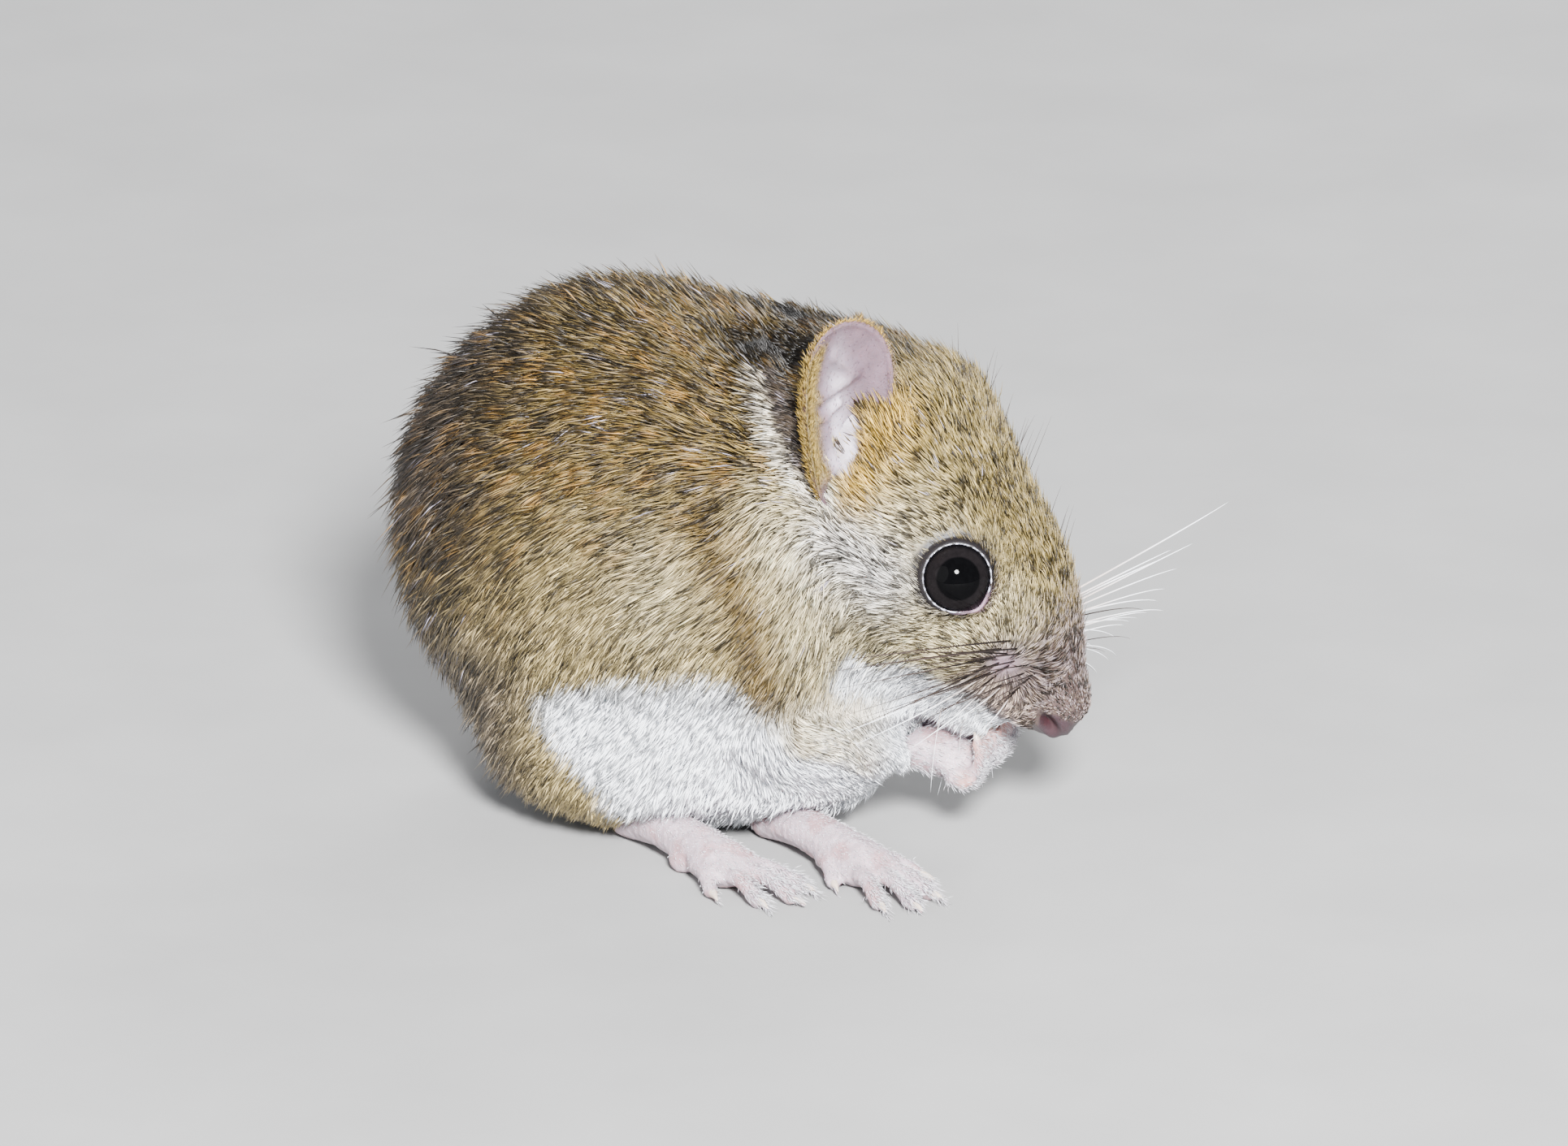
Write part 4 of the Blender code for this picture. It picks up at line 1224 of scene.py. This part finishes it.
def make_foot_hair(side, foot, made_of):
    """White hair on the instep, longer over the claws and at the heel."""
    turn, heel = foot_axes(side)

    def rule(points, facing):
        ahead = (points - heel) @ turn[:, 0]
        length = 0.6 + 0.7 * ramp(14.5, 18.0, ahead) + 0.9 * ramp(3.0, 0.5, ahead)
        return length, ramp(-0.1, 0.4, facing) * (1 + 1.5 * ramp(14, 17, ahead)) * (ahead < 20)

    make_paw_hair("foot_hair_" + side, foot, FOOT_HAIRS, turn @ (1, 0, -0.1), rule, made_of)


def make_hand_hair(side, hand, made_of):
    """White hair on the back of the hand, from the wrist over the fingers."""

    def rule(points, facing):
        return 0.75 + 0.2 * ripple(points, 1.5, 66), 0.3 + ramp(0.4, -0.3, facing)

    make_paw_hair("hand_hair_" + side, hand, HAND_HAIRS, CHEST_TURN @ (1, 0, -0.1), rule, made_of)


TOE_TIPS = (
    # how far the toe reaches, how far out, its height, and the way its claw points out
    (12.8, -2.9, 0.56, -0.42),
    (18.1, -2.8, 0.58, -0.3),
    (19.6, -0.9, 0.6, -0.11),
    (18.6, 1.4, 0.58, 0.11),
    (15.2, 3.0, 0.56, 0.36),
)


def make_claws(side, made_of):
    """Pale hooked claws over the ends of the toes and the fingers."""
    turn, heel = foot_axes(side)
    starts = []
    for reach, out, height, sideways in TOE_TIPS:
        ahead = unit(turn @ np.array((1.0, SIDES[side] * sideways, 0.0)))
        starts.append((turn @ np.array((reach, SIDES[side] * out, height)) + heel, ahead, 1.5, 0.36))
    for out in FINGER_OUTS:
        tip = from_chest((-0.4, out * 0.95 + 0.1, 8.8), side)
        starts.append((tip, unit(CHEST_TURN @ (-0.35, 0.0, 1.0)), 0.75, 0.26))
    t = np.linspace(0, 1, 9)[:, None]
    claws = []
    for tip, ahead, length, radius in starts:
        path = tip + ahead * (t * length * 1.02) + np.array((0, 0, 0.3)) * length * (t * (1 - t) - 0.28 * t)
        radii = radius * (1 - t[:, 0] ** 1.4) * 0.98 + 0.02
        claws.append(tube(path, radii, 10, up=(0.1, 0.3, 1.0)))
    points, triangles = joined(claws)
    points[:, 2] = np.maximum(points[:, 2], 0.01)
    made = add_mesh("claws_" + side, points, triangles)
    paint(made, np.tile(CLAW, (len(points), 1)))
    dress(made, made_of, "bare_skin")


# Whiskers


def make_whisker_set(name, hairs, made_of):
    """Tapered bent hairs, each given by its root, tip, the bow of its middle, its radius and its two colours."""
    sides, steps = 5, 14
    t = np.linspace(0, 1, steps + 1)[:, None]
    tubes, tones = [], []
    for root, tip, bow, radius, root_tone, tip_tone in hairs:
        path = root * (1 - t) + tip * t + bow * (4 * t * (1 - t))
        path[:, 2] = np.maximum(path[:, 2], 0.3)
        tubes.append(tube(path, radius * (1 - 0.88 * t[:, 0] ** 1.3), sides, up=(0.13, 0.21, 0.97)))
        tone = mix(root_tone, tip_tone, ramp(0.15, 0.7, t[:, 0]))
        tones += [np.repeat(tone, sides, axis=0), tone[:1], tone[-1:]]
    made = add_mesh(name, *joined(tubes))
    paint(made, np.vstack(tones))
    set_uv(made, np.full((len(made.data.loops), 2), 0.5))
    dress(made, made_of, "coat")


WHISKER_FANS = {
    # side: the ways of the first and the last whisker on the head, the greatest length, and the share of dark ones
    "right": ((-0.55, 0.76, -0.4), (0.02, 0.74, -0.78), 18.0, 0.95),
    "left": ((0.14, 0.75, 0.66), (0.63, 0.75, -0.07), 19.0, 0.35),
}


def on_skin(skin_tree, place):
    """The point of the skin nearest to a place on the head, and the skin's normal there."""
    root, way_out, _, _ = skin_tree.find_nearest(from_head(place))
    return np.array(root), np.array(way_out)


def whiskers(side, skin_tree):
    """Rows of whiskers on the pad: one side laid back over the cheek, the other spread out."""
    made = []
    first, last, longest, dark_share = WHISKER_FANS[side]
    for row in range(5):
        for column in range(5):
            place = sided((-4.6 - 0.8 * column, 4.9, 0.6 - 0.85 * row), side)
            root, _ = on_skin(skin_tree, place + normal(0, 0.1, 3))
            turn = np.clip(0.13 * row + 0.11 * (4 - column) + normal(0, 0.05), 0, 1)
            way = unit(mix(sided(first, side), sided(last, side), turn) + normal(0, 0.05, 3))
            size = longest * (0.38 + 0.155 * column) * (1 - 0.07 * row) * uniform(0.85, 1.05)
            bow = HEAD_TURN @ (np.array((0.03, SIDES[side] * 0.1, 0.1)) * size)
            tones = DARK_WHISKER if uniform(0, 1) < dark_share and row < 4 else PALE_WHISKER
            way = HEAD_TURN @ way
            made.append((root - way * 0.3, root + way * size, bow, 0.05 + 0.008 * column, *tones))
    return made


def stray_hairs(skin_tree):
    """Long fine hairs that stand off the chin, the forehead and the brows."""
    made = []
    for _ in range(10):
        root, _ = on_skin(skin_tree, (uniform(-7.5, -2.5), uniform(-3.2, 3.2), -6.5))
        way = unit(np.array((uniform(-0.35, 0.25), uniform(-0.4, 0.3), -1.0)))
        size = uniform(3.5, 7.0)
        made.append((root, root + way * size, np.array((0.0, -0.05, 0.0)) * size, 0.035, *PALE_WHISKER))
    for _ in range(26):
        root, way_out = on_skin(skin_tree, (uniform(-27, -6), uniform(-5, 5), 12.0))
        way = unit(way_out + 0.9 * HEAD_TURN @ (-1.0, 0.0, 0.2) + normal(0, 0.15, 3))
        size = uniform(2.6, 4.2)
        made.append((root, root + way * size, np.array((0, 0, 0.06)) * size, 0.03, *DARK_WHISKER))
    for side in SIDES:
        for k in range(3):
            root, way_out = on_skin(skin_tree, sided((-15.5 - 0.6 * k, 4.0, 5.2 + 0.3 * k), side))
            way = unit(way_out + 0.8 * HEAD_TURN @ (-1.0, 0.0, 0.3))
            made.append((root, root + way * (6.0 - 1.2 * k), way * 0.0, 0.035, *DARK_WHISKER))
    return made


# Tail


def make_tail(made_of):
    """A long thin tail in fine rings of scales, darker above than below."""
    radii = np.array(TAIL_RADII)[:, None]
    rows = np.hstack([np.array(TAIL_POINTS) + SHIFT + radii * (0, 0, 1), radii])
    steps, sides = 420, 20
    table = np.array([spline(rows, i / steps) for i in range(steps + 1)])
    run = np.concatenate([[0], np.cumsum(norm(np.diff(table[:, :3], axis=0)))])
    even = np.linspace(0, run[-1], steps + 1)
    table = np.stack([np.interp(even, run, table[:, i]) for i in range(4)], -1)
    path, thick = table[:, :3], table[:, 3]
    ridge = 1 + SCALE_RELIEF * np.sin(2 * math.pi * even / SCALE_ROW)
    taper = np.sqrt(np.clip((run[-1] - even + 0.05) / 1.2, 0, 1))
    points, triangles = tube(path, thick * 0.97 * ridge * taper, sides)
    points[:, 2] = np.maximum(points[:, 2], ON_FLOOR)
    made = add_mesh("tail_skin", points, triangles)
    upper = np.clip(points[:, 2] - np.append(np.repeat(path[:, 2], sides), path[[0, -1], 2]), -2, 2)
    radii = np.append(np.repeat(thick, sides), [1, 1])
    tone = mix(TAIL_UNDER, TAIL_TOP, ramp(-0.4, 0.5, upper / radii))
    paint(made, tone * (1 + 0.1 * ripple(points, 3.0, 71))[:, None])
    dress(made, made_of, "bare_skin", "tail_1", "tail_2", "tail_3", "tail_4")
    return unwrap(made), path


def make_tail_hair(tail, path, made_of):
    """Fine hairs that point down the tail."""
    ground = Ground(tail)
    rooted = ground.scatter(TAIL_HAIRS, ground.middles[:, 2] > 0.15)
    roots, normals, _ = rooted
    way = along_path(roots, path[::6])[2]
    way = unit(way + normal(0, 0.1, way.shape))
    base = mix(TAIL_UNDER, TAIL_TOP * 0.6, ramp(0.0, 0.5, normals[:, 2]) * uniform(0.4, 1, TAIL_HAIRS))
    length = 0.95 * uniform(0.6, 1.2, TAIL_HAIRS)
    thick = FINE * uniform(0.7, 1.2, TAIL_HAIRS)
    make_tufts("tail_hair", made_of, rooted, way, length, thick, (base * 0.8, base, base), (18, 10))


# Stage, light and camera


def make_floor():
    floor = add_mesh("floor", np.array(((-3, -3, 0), (3, -3, 0), (3, 3, 0), (-3, 3, 0))) * 1000.0, [(0, 1, 2, 3)])
    floor.data.materials.append(material("pale_floor", painted=False))


def camera_axes():
    """The ways to the back, the right and the top of the camera."""
    azimuth, elevation = math.radians(CAMERA_AZIMUTH), math.radians(CAMERA_ELEVATION)
    flat = math.cos(elevation)
    back = Vector((math.sin(azimuth) * flat, -math.cos(azimuth) * flat, math.sin(elevation)))
    right = Vector((math.cos(azimuth), math.sin(azimuth), 0))
    return back, right, back.cross(right)


def aim(thing, place, back):
    """Puts a camera or a light at a place, its back turned the given way."""
    thing.location = place
    thing.rotation_mode = "QUATERNION"
    thing.rotation_quaternion = back.to_track_quat("Z", "Y")


def make_camera():
    back, _, _ = camera_axes()
    data = bpy.data.cameras.new("camera")
    data.sensor_width = SENSOR
    data.lens = SENSOR * CAMERA_DISTANCE / (VIEW_WIDTH * MM)
    data.clip_start, data.clip_end = 0.05, 20
    camera = add_object("camera", data)
    aim(camera, Vector(middle("eye_right") + EYE_TO_TARGET) * MM + back * CAMERA_DISTANCE, back)
    bpy.context.scene.camera = camera


LIGHTS = {
    # name: its place in metres, to the camera's right, up and back, its size and its power
    "key": ((0.08, 0.16, 0.75), 0.14, 38.0),
    "fill": ((-0.5, 0.1, 0.6), 0.7, 3.0),
    "back light": ((0.3, 0.55, -0.4), 0.35, 6.0),
}
SKY, SKY_STRENGTH = (0.94, 0.96, 1.0, 1.0), 0.6


def make_lights():
    """Round soft lights aimed at the rat, and a pale sky."""
    back, right, up = camera_axes()
    for name, (place, size, power) in LIGHTS.items():
        data = bpy.data.lights.new(name, "AREA")
        data.shape, data.size, data.energy = "DISK", size, power
        place = right * place[0] + up * place[1] + back * place[2]
        aim(add_object(name, data), place, place)
    world = bpy.data.worlds.new("studio")
    world.use_nodes = True
    sky = world.node_tree.nodes["Background"].inputs
    sky["Color"].default_value, sky["Strength"].default_value = SKY, SKY_STRENGTH
    bpy.context.scene.world = world


def main():
    make_camera()
    make_lights()
    make_floor()
    skin = make_skin()
    unwrap(dress(skin, material("skin"), "coat", *FLESH))
    make_coat(skin)
    eye, lid, claw, fine = (material(name) for name in ("eye_dark", "lid_rim", "claw", "fine_hair"))
    ear_skin, paw_skin = material("ear_skin"), material("paw_skin")
    skin_tree = BVHTree.FromPolygons(points_of(skin).tolist(), [tuple(p.vertices) for p in skin.data.polygons])
    for side in SIDES:
        make_eye(side, eye)
        make_lid_rim(side, lid)
        make_ear_hair(side, make_ear(side, ear_skin), fine)
        make_whisker_set("whiskers_" + side, whiskers(side, skin_tree), fine)
        hand = make_paw("hand_skin_" + side, "hand_" + side, HAND_VOXEL, paw_skin, knuckles(side))
        make_hand_hair(side, hand, fine)
        foot = make_paw("foot_skin_" + side, "hind_foot_" + side, FOOT_VOXEL, paw_skin)
        make_foot_hair(side, foot, fine)
        make_claws(side, claw)
    make_whisker_set("stray_hairs", stray_hairs(skin_tree), fine)
    make_tail_hair(*make_tail(material("tail_skin")), fine)


main()
